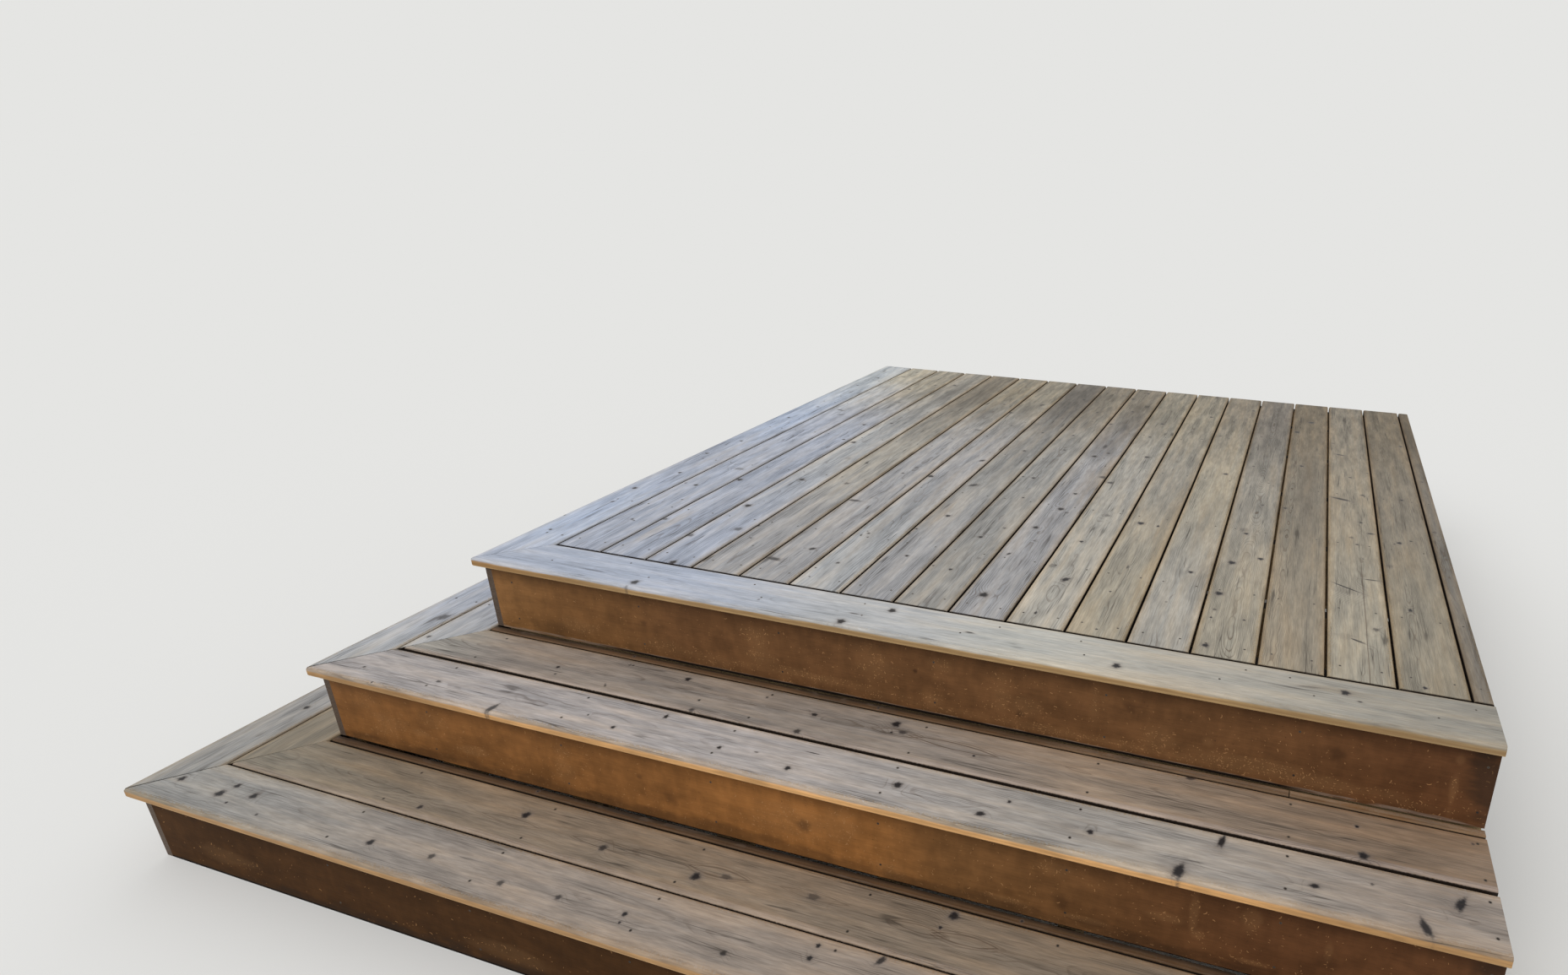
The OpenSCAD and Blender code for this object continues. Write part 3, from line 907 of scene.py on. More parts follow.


# Deck boards, counted from the left. Tones are for the front, the middle and the back, and the darker back
# tones are partly painted shade. Knots are (along, across, radius, darkness, stretch, turn), with across
# counted from the deck's left side.
deckBoards = {
    1: {"tones": ["silverSheen", "silverSheen", "mist", "straw"], "places": (300, 1400, 1850, 2250), "grey": 0.3,
        "pith": (60, -42, 3), "edge": 0.3,
        "knots": [(830, 240, 10, .4, 2, 90), (650, 203, 8, .8), (655, 160, 5, .5), (530, 245, 4, .6),
                  (352, 212, 5, .7), (345, 224, 4, .6), (2225, 185, 9, .45, 1.8, 90),
                  (1598, 195, 5, .7, 4, 105), (1537, 230, 5, .7, 3, 60)],
        "greys": [(1700, 250, 300, 50, .4)]},
    2: {"tones": ["silverSheen", "silverSheen", "sand"], "grey": 0.35, "pith": (80, -38, -3), "edge": 0.4,
        "knots": [(740, 305, 11, .75), (385, 300, 9, .5), (2130, 395, 8, .5), (2015, 315, 9, .6),
                  (1793, 372, 8, .5), (1443, 388, 9, .7), (1243, 408, 7, .7)],
        "browns": [(330, 330, 110, 22, .4)], "greys": [(700, 380, 500, 30, .3)]},
    3: {"tones": ["silverSheen", "pearl", "dune"], "grey": 0.45, "pith": (50, -46, 2),
        "knots": [(1225, 460, 11, .9), (810, 495, 10, .85), (555, 465, 12, .95), (393, 545, 13, .5),
                  (312, 445, 11, .5), (152, 515, 11, .85), (1055, 530, 13, .25), (2160, 480, 9, .8),
                  (1498, 482, 8, .6)],
        "greys": [(2000, 520, 320, 45, .7), (1150, 550, 300, 30, .3), (1520, 520, 260, 50, .45)]},
    4: {"tones": ["ash", "stone", "bark"], "grey": 0.5, "pith": (70, -60, 0),
        "knots": [(828, 652, 10, .5), (1032, 618, 6, .8), (432, 585, 6, .8), (352, 615, 4, .7),
                  (310, 650, 3, .6)],
        "greys": [(2000, 650, 420, 60, .8), (1500, 650, 260, 55, .45)]},
    5: {"tones": ["ash", "ash", "hay"], "grey": 0.4, "pith": (80, -52, 2),
        "knots": [(1048, 800, 5, .6, 2, 40), (980, 782, 6, .6), (702, 750, 9, .6, 2.6, 88),
                  (345, 815, 8, .75, 1.5, 40), (256, 752, 10, .6, 2.6, 95), (1930, 810, 7, .8),
                  (1535, 840, 8, .45, 2, 90), (1393, 790, 5, .6)],
        "greys": [(1780, 790, 170, 50, .8)], "browns": [(2100, 790, 260, 50, .35)]},
    6: {"tones": ["pearl", "ash", "hay"], "grey": 0.45, "pith": (60, -70, 0),
        "knots": [(985, 883, 12, .95), (1195, 988, 9, .7, 1.5, 40), (490, 910, 5, .7), (475, 895, 4, .6),
                  (465, 920, 4, .6), (503, 900, 3, .6), (290, 925, 6, .6), (245, 885, 3, .7),
                  (1978, 970, 10, .6, 1.8, 40), (1815, 880, 10, .7), (1470, 902, 5, .7),
                  (1637, 945, 6, .5)],
        "greys": [(1880, 930, 180, 45, .7), (700, 940, 450, 45, .45), (1500, 930, 220, 50, .35)]},
    7: {"tones": ["ash", "cloud", "slate"], "grey": 0.55, "pith": (60, -36, 2),
        "knots": [(955, 1050, 12, .6, 1.7, 50), (685, 1073, 9, .95), (565, 1025, 5, .7),
                  (390, 1078, 6, .95), (2127, 1120, 9, .9), (1805, 1110, 7, .5), (1590, 1092, 6, .8),
                  (1352, 1095, 8, .8)],
        "greys": [(2050, 1090, 420, 70, .95), (1250, 1080, 300, 50, .4)],
        "browns": [(670, 1030, 130, 25, .4)], "edge": 0.5},
    8: {"tones": ["cloud", "cloud", "bark"], "grey": 0.4, "pith": (70, -48, 0),
        "knots": [(1088, 1178, 6, .6), (1088, 1215, 8, .8), (903, 1240, 5, .8), (572, 1222, 8, .9),
                  (352, 1222, 6, .95), (358, 1170, 4, .6), (655, 1265, 6, .5), (440, 1268, 8, .3),
                  (1950, 1225, 7, .9), (1875, 1180, 3, .6), (1598, 1215, 7, .85), (1412, 1232, 6, .8),
                  (2260, 1270, 9, .4)],
        "greys": [(1950, 1200, 330, 60, .5), (600, 1180, 300, 30, .4)]},
    9: {"tones": ["ash", "ash", "bark"], "grey": 0.4, "pith": (70, -34, -2),
        "knots": [(993, 1388, 8, .95), (852, 1380, 12, .9), (830, 1405, 8, .45), (690, 1350, 10, 1),
                  (248, 1355, 14, 1), (493, 1335, 5, .7, 2, 20), (1175, 1435, 13, .55),
                  (600, 1375, 5, .4), (2340, 1372, 8, .8), (2220, 1325, 10, .8), (2015, 1365, 9, .85),
                  (1800, 1320, 9, .6), (1505, 1365, 9, .55, 3, 0), (1432, 1395, 8, .7),
                  (1380, 1355, 11, .95), (1372, 1393, 4, .8)],
        "greys": [(1880, 1385, 360, 60, .95), (800, 1400, 650, 50, .35), (1500, 1370, 220, 60, .9)],
        "browns": [(1200, 1430, 230, 30, .6), (1150, 1330, 200, 25, .3)], "edge": 0.6, "ringShow": 0.5},
    10: {"tones": ["linen", "stone", "hay"],
         "grey": 0.35, "pith": (65, -58, 0),
         "knots": [(1132, 1472, 12, .6), (850, 1528, 12, .4), (638, 1503, 7, .95), (462, 1470, 13, .35),
                   (395, 1525, 10, .75, 1.6, 35), (203, 1505, 4, .7, 2, 0), (1878, 1518, 9, .85),
                   (1683, 1503, 7, .8), (1438, 1538, 11, .7)],
         "greys": [(1950, 1510, 280, 60, .45)]},
    11: {"tones": ["sand", "dune", "hay"], "grey": 0.45, "pith": (55, -30, 1),
         "knots": [(825, 1637, 12, .85), (820, 1690, 5, .8, 1.6, 0), (368, 1650, 4, .7),
                   (520, 1662, 4, .5, 3, 0), (175, 1662, 4, .6), (2053, 1697, 9, .8),
                   (1727, 1700, 7, .4)],
         "browns": [(850, 1715, 500, 20, .4)], "edge": 0.6, "ringShow": 0.5},
    12: {"tones": ["stone", "sand", "bark"], "grey": 0.3, "pith": (72, -36, 0),
         "knots": [(545, 1827, 8, .9), (360, 1793, 4, .4), (2218, 1860, 8, .7), (1353, 1832, 10, .7),
                   (1795, 1763, 8, .5), (1772, 1800, 3, .6), (2015, 1795, 4, .5, 3, 0)],
         "greys": [(850, 1815, 240, 22, .55)], "browns": [(520, 1860, 160, 25, .3)], "ringShow": 0.42,
         "checks": 0.25},
    13: {"tones": ["sand", "dune", "slate"], "grey": 0.3, "pith": (75, -26, 0),
         "knots": [(853, 1945, 8, .95), (880, 1938, 16, .3), (690, 1998, 9, .9), (640, 1925, 12, .9),
                   (448, 1912, 12, .95), (360, 1912, 6, .5), (318, 1908, 4, .9), (330, 1985, 4, 1),
                   (185, 1912, 9, .95), (1100, 1975, 6, .5), (1842, 1920, 6, .5), (1470, 1918, 6, .5),
                   (1312, 1980, 5, .5)],
         "ringShow": 0.62, "ringEven": 0.6, "ringWidth": 2.6, "wander": 16,
         "greys": [(1750, 1950, 400, 40, .35)]},
    14: {"tones": ["clay", "bark", "umber"],
         "grey": 0.25, "pith": (30, -24, 0),
         "knots": [(1098, 2045, 8, .6), (2120, 2105, 13, .7, 1.2, 40), (1958, 2052, 12, .75),
                   (1533, 2082, 8, .9)],
         "greys": [(1300, 2110, 420, 35, .6)],
         "ringShow": 0.6, "ringEven": 0.8, "ringWidth": 2.3, "wander": 9},
    15: {"tones": ["sand", "clay", "bark"], "grey": 0.15, "pith": (88, -40, 0),
         "knots": [(1715, 2215, 7, .6, 3.2, 105), (1240, 2215, 9, .65, 4, 108),
                   (588, 2222, 3.5, .8, 13, 120), (570, 2215, 22, .2, 1.6, 110),
                   (655, 2285, 3.5, .6, 6.5, 88), (318, 2240, 4, .65, 6, 115), (330, 2215, 18, .2, 1.5, 90),
                   (1055, 2270, 6, .8), (975, 2295, 6, .7, 2, 90), (927, 2240, 8, .4), (880, 2255, 6, .6),
                   (785, 2268, 3, .8), (385, 2285, 9, .5), (1300, 2283, 9, .55), (1467, 2247, 7, .55),
                   (1855, 2190, 8, .4), (1533, 2305, 4, .7)],
         "splits": [(2263, 140, 880)], "ringShow": 0.3},
    16: {"tones": ["hay", "bark", "umber"], "grey": 0.15, "pith": (50, -17, 0),
         "knots": [(932, 2372, 9, .9), (920, 2358, 4, .6), (957, 2405, 6, .6), (760, 2335, 12, .3),
                   (512, 2370, 6, .75, 1.6, 0), (162, 2372, 6, .95), (2240, 2438, 7, .5),
                   (1905, 2440, 9, .6), (1297, 2403, 7, .75)],
         "ringShow": 0.5, "ringEven": 0.6, "ringWidth": 2.4, "wander": 6},
    17: {"tones": ["slate", "slate", "peat"], "grey": 0.4, "pith": (20, -30, 0),
         "knots": [(1505, 2483, 6, .6), (1050, 2478, 9, .4)], "ringShow": 0.5, "ringWidth": 2.2},
}
deckPlan = {
    "wholeBoards": 16,
    "pitch": 145,
    "boardWidth": 140,
    "rippedMiddle": 19,
    "hole": 0.15,
    "farBlotch": 0.22,
}


def finishDeck():
    inset = screwPlan["deckInset"]
    for i, look in deckBoards.items():
        whole = i <= deckPlan["wholeBoards"]
        name = "deck_board_%02d" % i if whole else "deck_board_ripped"
        left = i * deckPlan["pitch"]
        low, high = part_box(name)
        width = round((high.x - low.x) / mm)
        rows = (left + inset, left + width - inset) if whole else (left + width / 2, left + width / 2)
        finishBoard(name, i, dict(
            look, left=left, width=width, screws=(deckShade,) + rows,
            hole=deckPlan["hole"], farBlotch=deckPlan["farBlotch"],
        ))


# Border boards. The left one runs back, the front one along X.
borders = {
    "deck_border_left": {
        "directions": ("y", "x", "z"), "nose": ["ginger", "tan"], "grey": 0.3, "pith": (90, -60, 2),
        "edge": 0.3,
        "tones": ["frostSheen", "iceSheen", "silverSheen", "iceSheen", "glazeSheen"], "places": (20, 250, 900, 1400, 2150),
        "knots": [(1095, 62, 6, .85), (930, 35, 7, .7), (730, 78, 7, .8), (562, 40, 9, .75),
                  (445, 60, 5, .7, 1.6, 30), (215, 50, 5, .8), (312, 5, 4, .8), (2160, 82, 7, .8),
                  (1995, 60, 6, .6), (1608, 80, 7, .5), (1425, 55, 6, .8)],
        "screws": (deckShade,) + screwPlan["borderRows"],
    },
    "deck_border_front": {
        "directions": ("x", "y", "z"), "nose": ["ginger", "tan", "tan", "dun"],
        "grey": 0.15, "pith": (60, -38, 1),
        "tones": ["frostSheen", "frostSheen", "mist", "chalk", "linen", "dune"],
        "places": (60, 600, 1150, 1550, 1900, 2450),
        "knots": [(503, 25, 12, .7), (497, 0, 5, .35), (1088, 17, 12, .85), (1177, 102, 11, .8),
                  (1740, 38, 11, .9), (2212, 90, 11, .95), (847, 47, 4, .4), (1100, 60, 3, .5, 5, 0),
                  (2140, 88, 5, .35, 6, 8), (1390, 66, 4, .6, 3, 0), (2240, 66, 3, .6, 2, 0)],
        "browns": [(2200, 92, 90, 16, .45)], "ringShow": 0.15, "checks": 0.2, "edge": 0.25,
        "blotch": 0.05, "farBlotch": 0.05,
    },
}


def finishBorders():
    for seed, (name, look) in enumerate(borders.items(), 21):
        finishBoard(name, seed, look)


# Treads. On the front ones across is counted back from the nosing, on the left ones inwards.
# The inner boards are browner, because they were sanded less.
frontStart = (cornerX, levels["middle"][1], levels["middle"][2])
lowStart = (cornerX, levels["bottom"][1], levels["bottom"][2])
sideStart = (levels["middle"][0], cornerY, levels["middle"][2])
sideLowStart = (levels["bottom"][0], cornerY, levels["bottom"][2])
treads = {
    "middle_tread_front_outer": {
        "start": frontStart, "nose": ["oak", "apricot", "apricot", "oak"], "noseLine": 0.3, "grey": 0.3,
        "tones": ["rose", "rose", "pebble", "fawn"], "places": (-200, 900, 1800, 2400),
        "pith": (60, -62, 0),
        "knots": [(-118, 49, 4, .7), (-35, 5, 3, .8), (113, 58, 5, .6, 1.6, 0), (327, 14, 9, .65, 2.2, 80),
                  (731, 114, 6, .8, 1.5, 90), (557, 63, 3, .8), (645, 43, 6, .9), (917, 57, 6, .9),
                  (1003, 69, 3, .5, 2, 0), (1097, 44, 8, .85), (1123, 105, 1.5, .7, 14, 0),
                  (1343, 69, 11, .95), (1581, 94, 5, .75), (1537, 43, 8, .8, 1.5, 20),
                  (1759, 63, 8, .95), (1940, 18, 13, .95, 1.7, 78), (2008, 118, 8, .85, 2.6, 80),
                  (2182, 59, 7, .9, 1.6, 10), (2283, 96, 4, .5), (2433, 96, 10, .95, 2.3, 66),
                  (2368, 22, 10, .75, 2.4, 110)],
        "greys": [(1760, 60, 110, 30, .5), (2440, 90, 60, 50, .4), (1935, 32, 45, 26, .4),
                  (1998, 92, 30, 22, .4), (2345, 45, 35, 20, .35)],
        "rows": screwPlan["outerRows"], "checks": 0.5,
    },
    "middle_tread_front_inner": {
        "start": frontStart, "left": 149, "grey": 0.2,
        "tones": ["stone", "driftwood", "driftwood", "oat", "bran"], "places": (-120, 200, 1300, 1800, 2350),
        "pith": (78, -40, 0), "ringShow": 0.4, "wander": 13, "seam": 224, "edgeHighlight": 0.5,
        "flames": [(771, 218, 130, 7, .6, 0), (914, 222, 92, 4, .5, 2), (1262, 229, 63, 11, .75, 0),
                   (1400, 224, 110, 10, .8, -2), (1130, 227, 70, 3, .4, 0), (1690, 231, 30, 3, .7, -7),
                   (410, 214, 90, 7, .45, 0), (1980, 262, 90, 9, .6, 0), (2260, 205, 100, 9, .5, 0)],
        "knots": [(335, 201, 6, .8), (353, 174, 4, .6), (502, 177, 3, .6), (498, 266, 5, .5),
                  (678, 259, 9, .95), (761, 193, 4, .9), (769, 155, 8, .6), (907, 254, 4, .6),
                  (1051, 229, 7, .75, 1.4, 0), (1047, 161, 10, .65), (1248, 256, 13, .9),
                  (1251, 225, 4, .9), (1275, 233, 8, .6, 1.6, 0), (1459, 207, 4, .8),
                  (1923, 285, 11, .6), (2260, 243, 5, .95), (2270, 165, 12, .8), (2475, 264, 4, .5)],
        "rows": (171, 267),
    },
    "middle_tread_left_outer": {
        "start": sideStart, "directions": ("y", "x", "z"), "nose": ["oak", "oak"], "width": 126,
        "grey": 0.35, "tones": ["pearl", "frostSheen", "chalk"], "places": (-296, 300, 2300),
        "knots": [(5, 95, 15, .55, 1.3, 10), (640, 50, 8, .6), (1250, 80, 9, .7), (1900, 60, 8, .6)],
        "pith": (40, -40, 0), "ringShow": 0.45, "rows": (30, 104),
    },
    "middle_tread_left_inner": {
        "start": sideStart, "directions": ("y", "x", "z"), "left": 129, "grey": 0.4,
        "tones": ["pearl", "silverSheen", "dune"], "places": (-200, 300, 2300),
        "knots": [(-86, 152, 7, .6), (420, 200, 8, .7), (980, 175, 9, .8), (1650, 210, 7, .7)],
        "pith": (60, -36, 0), "ringShow": 0.45, "rows": (151, 247),
    },
    "bottom_tread_front_outer": {
        "start": lowStart, "nose": ["oak", "oak"], "noseLine": 0.4, "grey": 0.35,
        "tones": ["cloud", "fawn", "oat"], "places": (-450, 700, 2400),
        "pith": (80, -44, 0),
        "knots": [(-417, 68, 10, .85), (-265, 91, 9, .85), (-275, 60, 13, .9), (-191, 78, 11, .85),
                  (-226, 43, 4, .8), (-119, 37, 4, .6), (207, 53, 10, .8), (370, 63, 9, .6),
                  (572, 51, 9, .6), (715, 58, 8, .6), (874, 65, 7, .9), (879, 45, 4, .7),
                  (1118, 47, 8, .7), (1282, 118, 6, .8), (1281, 88, 7, .9), (1413, 125, 8, .7, 1.8, 60),
                  (1690, 60, 10, .8), (2060, 90, 9, .8), (2330, 50, 11, .85)],
        "ringShow": 0.25, "checks": 0.35, "rows": screwPlan["outerRows"],
    },
    "bottom_tread_front_inner": {
        "start": lowStart, "left": 143, "grey": 0.2,
        "tones": ["bark", "cocoa", "cocoa"], "places": (-380, 600, 2400),
        "pith": (70, -44, 0), "ringShow": 0.4, "wander": 14, "seam": 216, "edgeHighlight": 0.3,
        "flames": [(1548, 217, 68, 11, .8, 2), (1450, 215, 60, 8, .7, -2), (1710, 214, 110, 5, .5, 0),
                   (985, 214, 74, 12, .7, 0), (700, 206, 90, 9, .6, 0), (440, 200, 80, 8, .5, 0),
                   (1210, 222, 80, 8, .5, 0), (1990, 214, 120, 7, .5, 0)],
        "knots": [(459, 225, 12, .9), (207, 170, 8, .7), (945, 191, 13, .95), (1007, 210, 8, .5, 2, 0),
                  (700, 197, 11, .65), (1210, 220, 10, .5, 1.8, 0), (1505, 265, 13, .9),
                  (1490, 230, 5, .8), (1820, 200, 9, .8), (2190, 240, 10, .8)],
        "rows": (165, 261),
    },
    "bottom_tread_left_outer": {
        "start": sideLowStart, "directions": ("y", "x", "z"), "nose": ["ginger", "oak"], "width": 126,
        "grey": 0.4, "tones": ["cloud", "ash", "dune"], "places": (-586, 300, 2300),
        "knots": [(-220, 70, 9, .8), (330, 40, 8, .7), (1100, 90, 10, .8), (1800, 50, 8, .6)],
        "pith": (80, -40, 0), "rows": (30, 104),
    },
    "bottom_tread_left_inner": {
        "start": sideLowStart, "directions": ("y", "x", "z"), "left": 129, "grey": 0.3,
        "tones": ["bark", "clay", "bark"], "places": (-480, 300, 2300),
        "knots": [(-100, 190, 8, .8), (620, 170, 9, .7), (1400, 220, 8, .8), (2050, 180, 9, .7)],
        "pith": (60, -30, 0), "ringShow": 0.5, "rows": (151, 247),
    },
}


def finishTreads():
    for seed, (name, look) in enumerate(treads.items(), 31):
        look = dict(look, screws=(stepShade,) + tuple(look["rows"]))
        look.setdefault("directions", ("x", "y", "z"))
        finishBoard(name, seed, look)


# Narrow strips behind the front treads, the middle one in two lengths of different age
strips = {
    "middle_filler_strip": {
        "start": frontStart, "left": 293, "width": 19, "grey": 0.5,
        "tones": ["walnut", "walnut", "sepia", "sepia", "hazel", "hazel"],
        "places": (0, 1500, 1750, 2126, 2128, 2503), "darkUntil": 1300,
        "knots": [(480, 302, 4, .8), (1180, 300, 4, .7)],
        "browns": [(2260, 300, 40, 8, 1), (2340, 296, 60, 6, 1), (2185, 297, 30, 5, .9),
                   (1725, 305, 15, 8, .7)],
    },
    "bottom_filler_strip": {
        "start": lowStart, "left": 287, "width": 19, "grey": 0.5,
        "tones": ["walnut", "walnut", "walnut"], "places": (-250, 1200, 2500),
        "knots": [(420, 297, 4, .8), (1640, 295, 4, .7)],
    },
}
stripLook = {
    "directions": ("x", "y", "z"),
    "pith": (10, -30, 0),
    "ringShow": 0.5,
    "shadeAndDirtBack": 0.75,
}


def finishStrips():
    for seed, (name, look) in enumerate(strips.items(), 41):
        finishBoard(name, seed, dict(look, **stripLook))


finishDeck()
finishBorders()
finishTreads()
finishStrips()
print("walking boards finished")


# Risers: worn brown stain over knotty softwood, with pale scuffs near the treads
riserTones = {
    "amber": (128, 90, 52),
    "honey": (123, 82, 44),
    # Lighter tone of the middle riser, partly painted sunlight
    "sunlitCaramel": (141, 94, 50),
    "chestnut": (110, 76, 44),
    "russet": (101, 69, 42),
    "brown": (96, 64, 38),
    "coffee": (90, 58, 35),
    # Darkest tone, of the bottom riser, partly painted shade
    "shadedCellar": (64, 41, 20),
}
riserFinish = {
    "dirt": (44, 32, 23),
    "knot": (54, 34, 20),
    "scuff": (176, 132, 88),
    "bareFoot": (138, 122, 108),
    # Near-black painted shadow for the foot of the risers
    "footShadowColour": (22, 16, 12),
    "end": (104, 90, 78),
    "endRing": (62, 50, 42),
    "back": (150, 122, 84),
}
riserDefaults = {
    "foot": 0,
    "footShadow": None,
    "footShadowTop": 6,
    "nicks": 1,
    "gloss": 0.1,
}
risers = {
    "top_riser_front": {
        "tones": ["amber", "chestnut", "russet", "russet", "coffee"], "places": (0, 350, 650, 1900, 2450),
        "knots": [(1780, 125, 14, .45), (2210, 107, 14, .5), (1272, 111, 5, .7), (1528, 52, 8, .6),
                  (515, 98, 8, .4)],
        "scuffs": [(310, 55, 70, 32, .8), (850, 95, 50, 65, .95), (1000, 38, 100, 16, 1),
                   (1160, 110, 55, 55, .75), (560, 40, 70, 28, .6), (720, 30, 70, 22, .6),
                   (1310, 40, 35, 28, .85), (1480, 90, 28, 65, .7), (1340, 140, 35, 22, .7),
                   (1540, 70, 35, 28, .75), (1840, 55, 45, 45, .85), (2050, 38, 150, 24, 1),
                   (2190, 30, 170, 20, 1), (2433, 60, 9, 55, .95), (2433, 150, 9, 14, .8),
                   (1700, 120, 14, 60, .65), (1950, 75, 14, 14, .8), (900, 35, 500, 14, .5),
                   (1800, 24, 700, 14, .7)],
        "smudges": [(2490, 100, 40, 110, .9), (200, 20, 120, 24, .3)],
        "foot": 0.6, "footShadow": (250, 2200),
    },
    "middle_riser_front": {
        "tones": ["honey", "honey", "sunlitCaramel", "sunlitCaramel", "chestnut", "coffee"],
        "places": (-200, 700, 1000, 1250, 1500, 2150),
        "knots": [(800, 70, 16, .35), (1139, 87, 15, .6), (1717, 59, 16, .5), (2220, 80, 16, .4),
                  (720, 110, 7, .35)],
        "scuffs": [(-50, 75, 70, 45, .95), (-100, 130, 60, 30, .6), (225, 60, 50, 14, 1),
                   (60, 70, 40, 14, .9), (120, 120, 60, 30, .5), (500, 80, 35, 65, .75),
                   (1100, 100, 110, 60, .7), (1340, 30, 45, 28, .95), (1225, 120, 45, 55, .65),
                   (1600, 30, 50, 9, 1), (1700, 140, 35, 22, .65), (1760, 30, 50, 7, 1),
                   (1920, 90, 35, 12, .85), (1975, 120, 9, 60, .85), (1985, 65, 16, 16, .95),
                   (2080, 130, 18, 32, .75), (2090, 32, 35, 7, 1), (2220, 105, 9, 28, .75)],
        "smudges": [(900, 12, 1700, 22, .5), (2490, 100, 40, 110, .8)],
        "footShadow": (-400, 2600), "footShadowTop": 2,
    },
    "bottom_riser_front": {
        "tones": ["shadedCellar", "shadedCellar"], "places": (0, 2400),
        "knots": [(150, 90, 12, .5), (960, 70, 13, .5), (1500, 110, 12, .5), (2100, 60, 14, .5)],
        "scuffs": [(-250, 60, 90, 30, .7), (600, 50, 120, 30, .7), (1200, 40, 160, 20, .8),
                   (1900, 60, 120, 40, .7)],
        "smudges": [(1000, 4, 1700, 26, .9)],
        "gloss": 0.03, "nicks": 0.4,
    },
    "top_riser_left": {
        "tones": ["amber", "chestnut"], "places": (0, 2400),
        "knots": [(420, 90, 13, .5), (1300, 60, 14, .5), (1980, 120, 12, .5)],
        "scuffs": [(300, 50, 120, 30, .8), (1100, 40, 200, 20, .9), (1800, 90, 90, 60, .7)],
        "smudges": [(1200, 6, 1500, 22, .5)],
        "foot": 0.4,
    },
    "middle_riser_left": {
        "tones": ["honey", "chestnut"], "places": (0, 2400),
        "knots": [(240, 70, 13, .5), (1000, 110, 13, .5), (1760, 60, 15, .5)],
        "scuffs": [(0, 60, 120, 30, .8), (800, 40, 200, 20, .9), (1500, 90, 90, 60, .7)],
        "smudges": [(1100, 6, 1600, 22, .5)],
        "foot": 0.3,
    },
    "bottom_riser_left": {
        "tones": ["brown", "brown"], "places": (0, 2400),
        "knots": [(60, 90, 13, .5), (820, 60, 13, .5), (1620, 100, 15, .5)],
        "scuffs": [(-200, 60, 120, 30, .7), (700, 50, 200, 24, .8), (1700, 70, 120, 50, .7)],
        "smudges": [(900, 4, 1700, 26, .9)],
    },
}
riserColours = {key: paint(*value) for key, value in riserFinish.items()}

# How strongly each effect shows on a riser
riserAmounts = {
    "broad": 0.16,
    "mottle": 0.10,
    "fibre": 0.05,
    "speck": 0.5,
    "scuffed": 0.12,
    "nick": 0.6,
    "smudge": 0.75,
    "paintedShadeUnderTread": 0.62,
    "roughness": 0.6,
    "nickRoughness": 0.15,
    "bump": 0.35,
}

# How fast each noise changes along, up and through a riser
riserNoise = {
    "ragged": (60, 90, 90),
    "broad": (9, 22, 22),
    "fibre": (14, 260, 260),
    "speck": (150, 190, 150),
    "mottle": (34, 16, 22),
}

# The share of the cells that hold a nick, and how many cells lie along a metre
nickShares = {
    "scuffed": 0.42,
    "low": 0.11,
    "high": 0.04,
    "coarse": 0.45,  # of the share that the fine cells have
    "fineCells": 165,
    "coarseCells": 90,
}

# Places on a riser, in millimetres up from its foot, along it or out of its face
riserPlaces = {
    "lowNicks": (90, 10),
    "paintedShadeUnderTread": (125, 186),
    "bareFoot": (8.5, 6.5),
    "footShadowStart": 250,
    "footShadowEnd": 100,
    "back": (-6, -16),
}


def nickMask(tree, look, marks):
    # Pale nicks in two sizes, most of them in the scuffed patches and near the foot
    few = look["nicks"]
    high, low = nickShares["high"] * few, nickShares["low"] * few
    plain = fadeOver(tree, marks["up"], riserPlaces["lowNicks"], high, low)
    chance = calc(tree, "MULTIPLY_ADD", marks["scuffed"], nickShares["scuffed"] * few, plain)
    fewer = calc(tree, "MULTIPLY", chance, nickShares["coarse"])
    sizes = ((nickShares["fineCells"], chance), (nickShares["coarseCells"], fewer))
    fine, coarse = [
        useGroup(tree, nickGroup, {"Vector": marks["moved"], "Cells": cells, "Where": where})["Nick"]
        for cells, where in sizes
    ]
    return calc(tree, "MAXIMUM", fine, coarse)


def riserMarks(tree, look, space, shift):
    # What is drawn on a riser, as masks and values over its surface
    moved = calcVector(tree, "ADD", space, shift)
    along, up, out = add(tree, "SeparateXYZ", {0: space}).outputs
    ragged = calc(tree, "SUBTRACT", noise(tree, moved, riserNoise["ragged"], 1), 0.5)
    broad = calc(tree, "SUBTRACT", noise(tree, moved, riserNoise["broad"], 3, 0.6), 0.5)
    marks = {
        "moved": moved, "along": along, "up": up, "out": out, "broad": broad,
        "fibre": noise(tree, moved, riserNoise["fibre"], 1, 0.6),
        "speck": noise(tree, moved, riserNoise["speck"], 1, 0.7),
        "mottle": noise(tree, moved, riserNoise["mottle"], 2, 0.6),
        "knots": layKnots(tree, space, ragged, look["knots"]),
        "scuffed": layPatches(tree, space, broad, look["scuffs"]),
        "smudge": layPatches(tree, space, broad, look["smudges"]),
    }
    marks["nick"] = nickMask(tree, look, marks)
    return marks


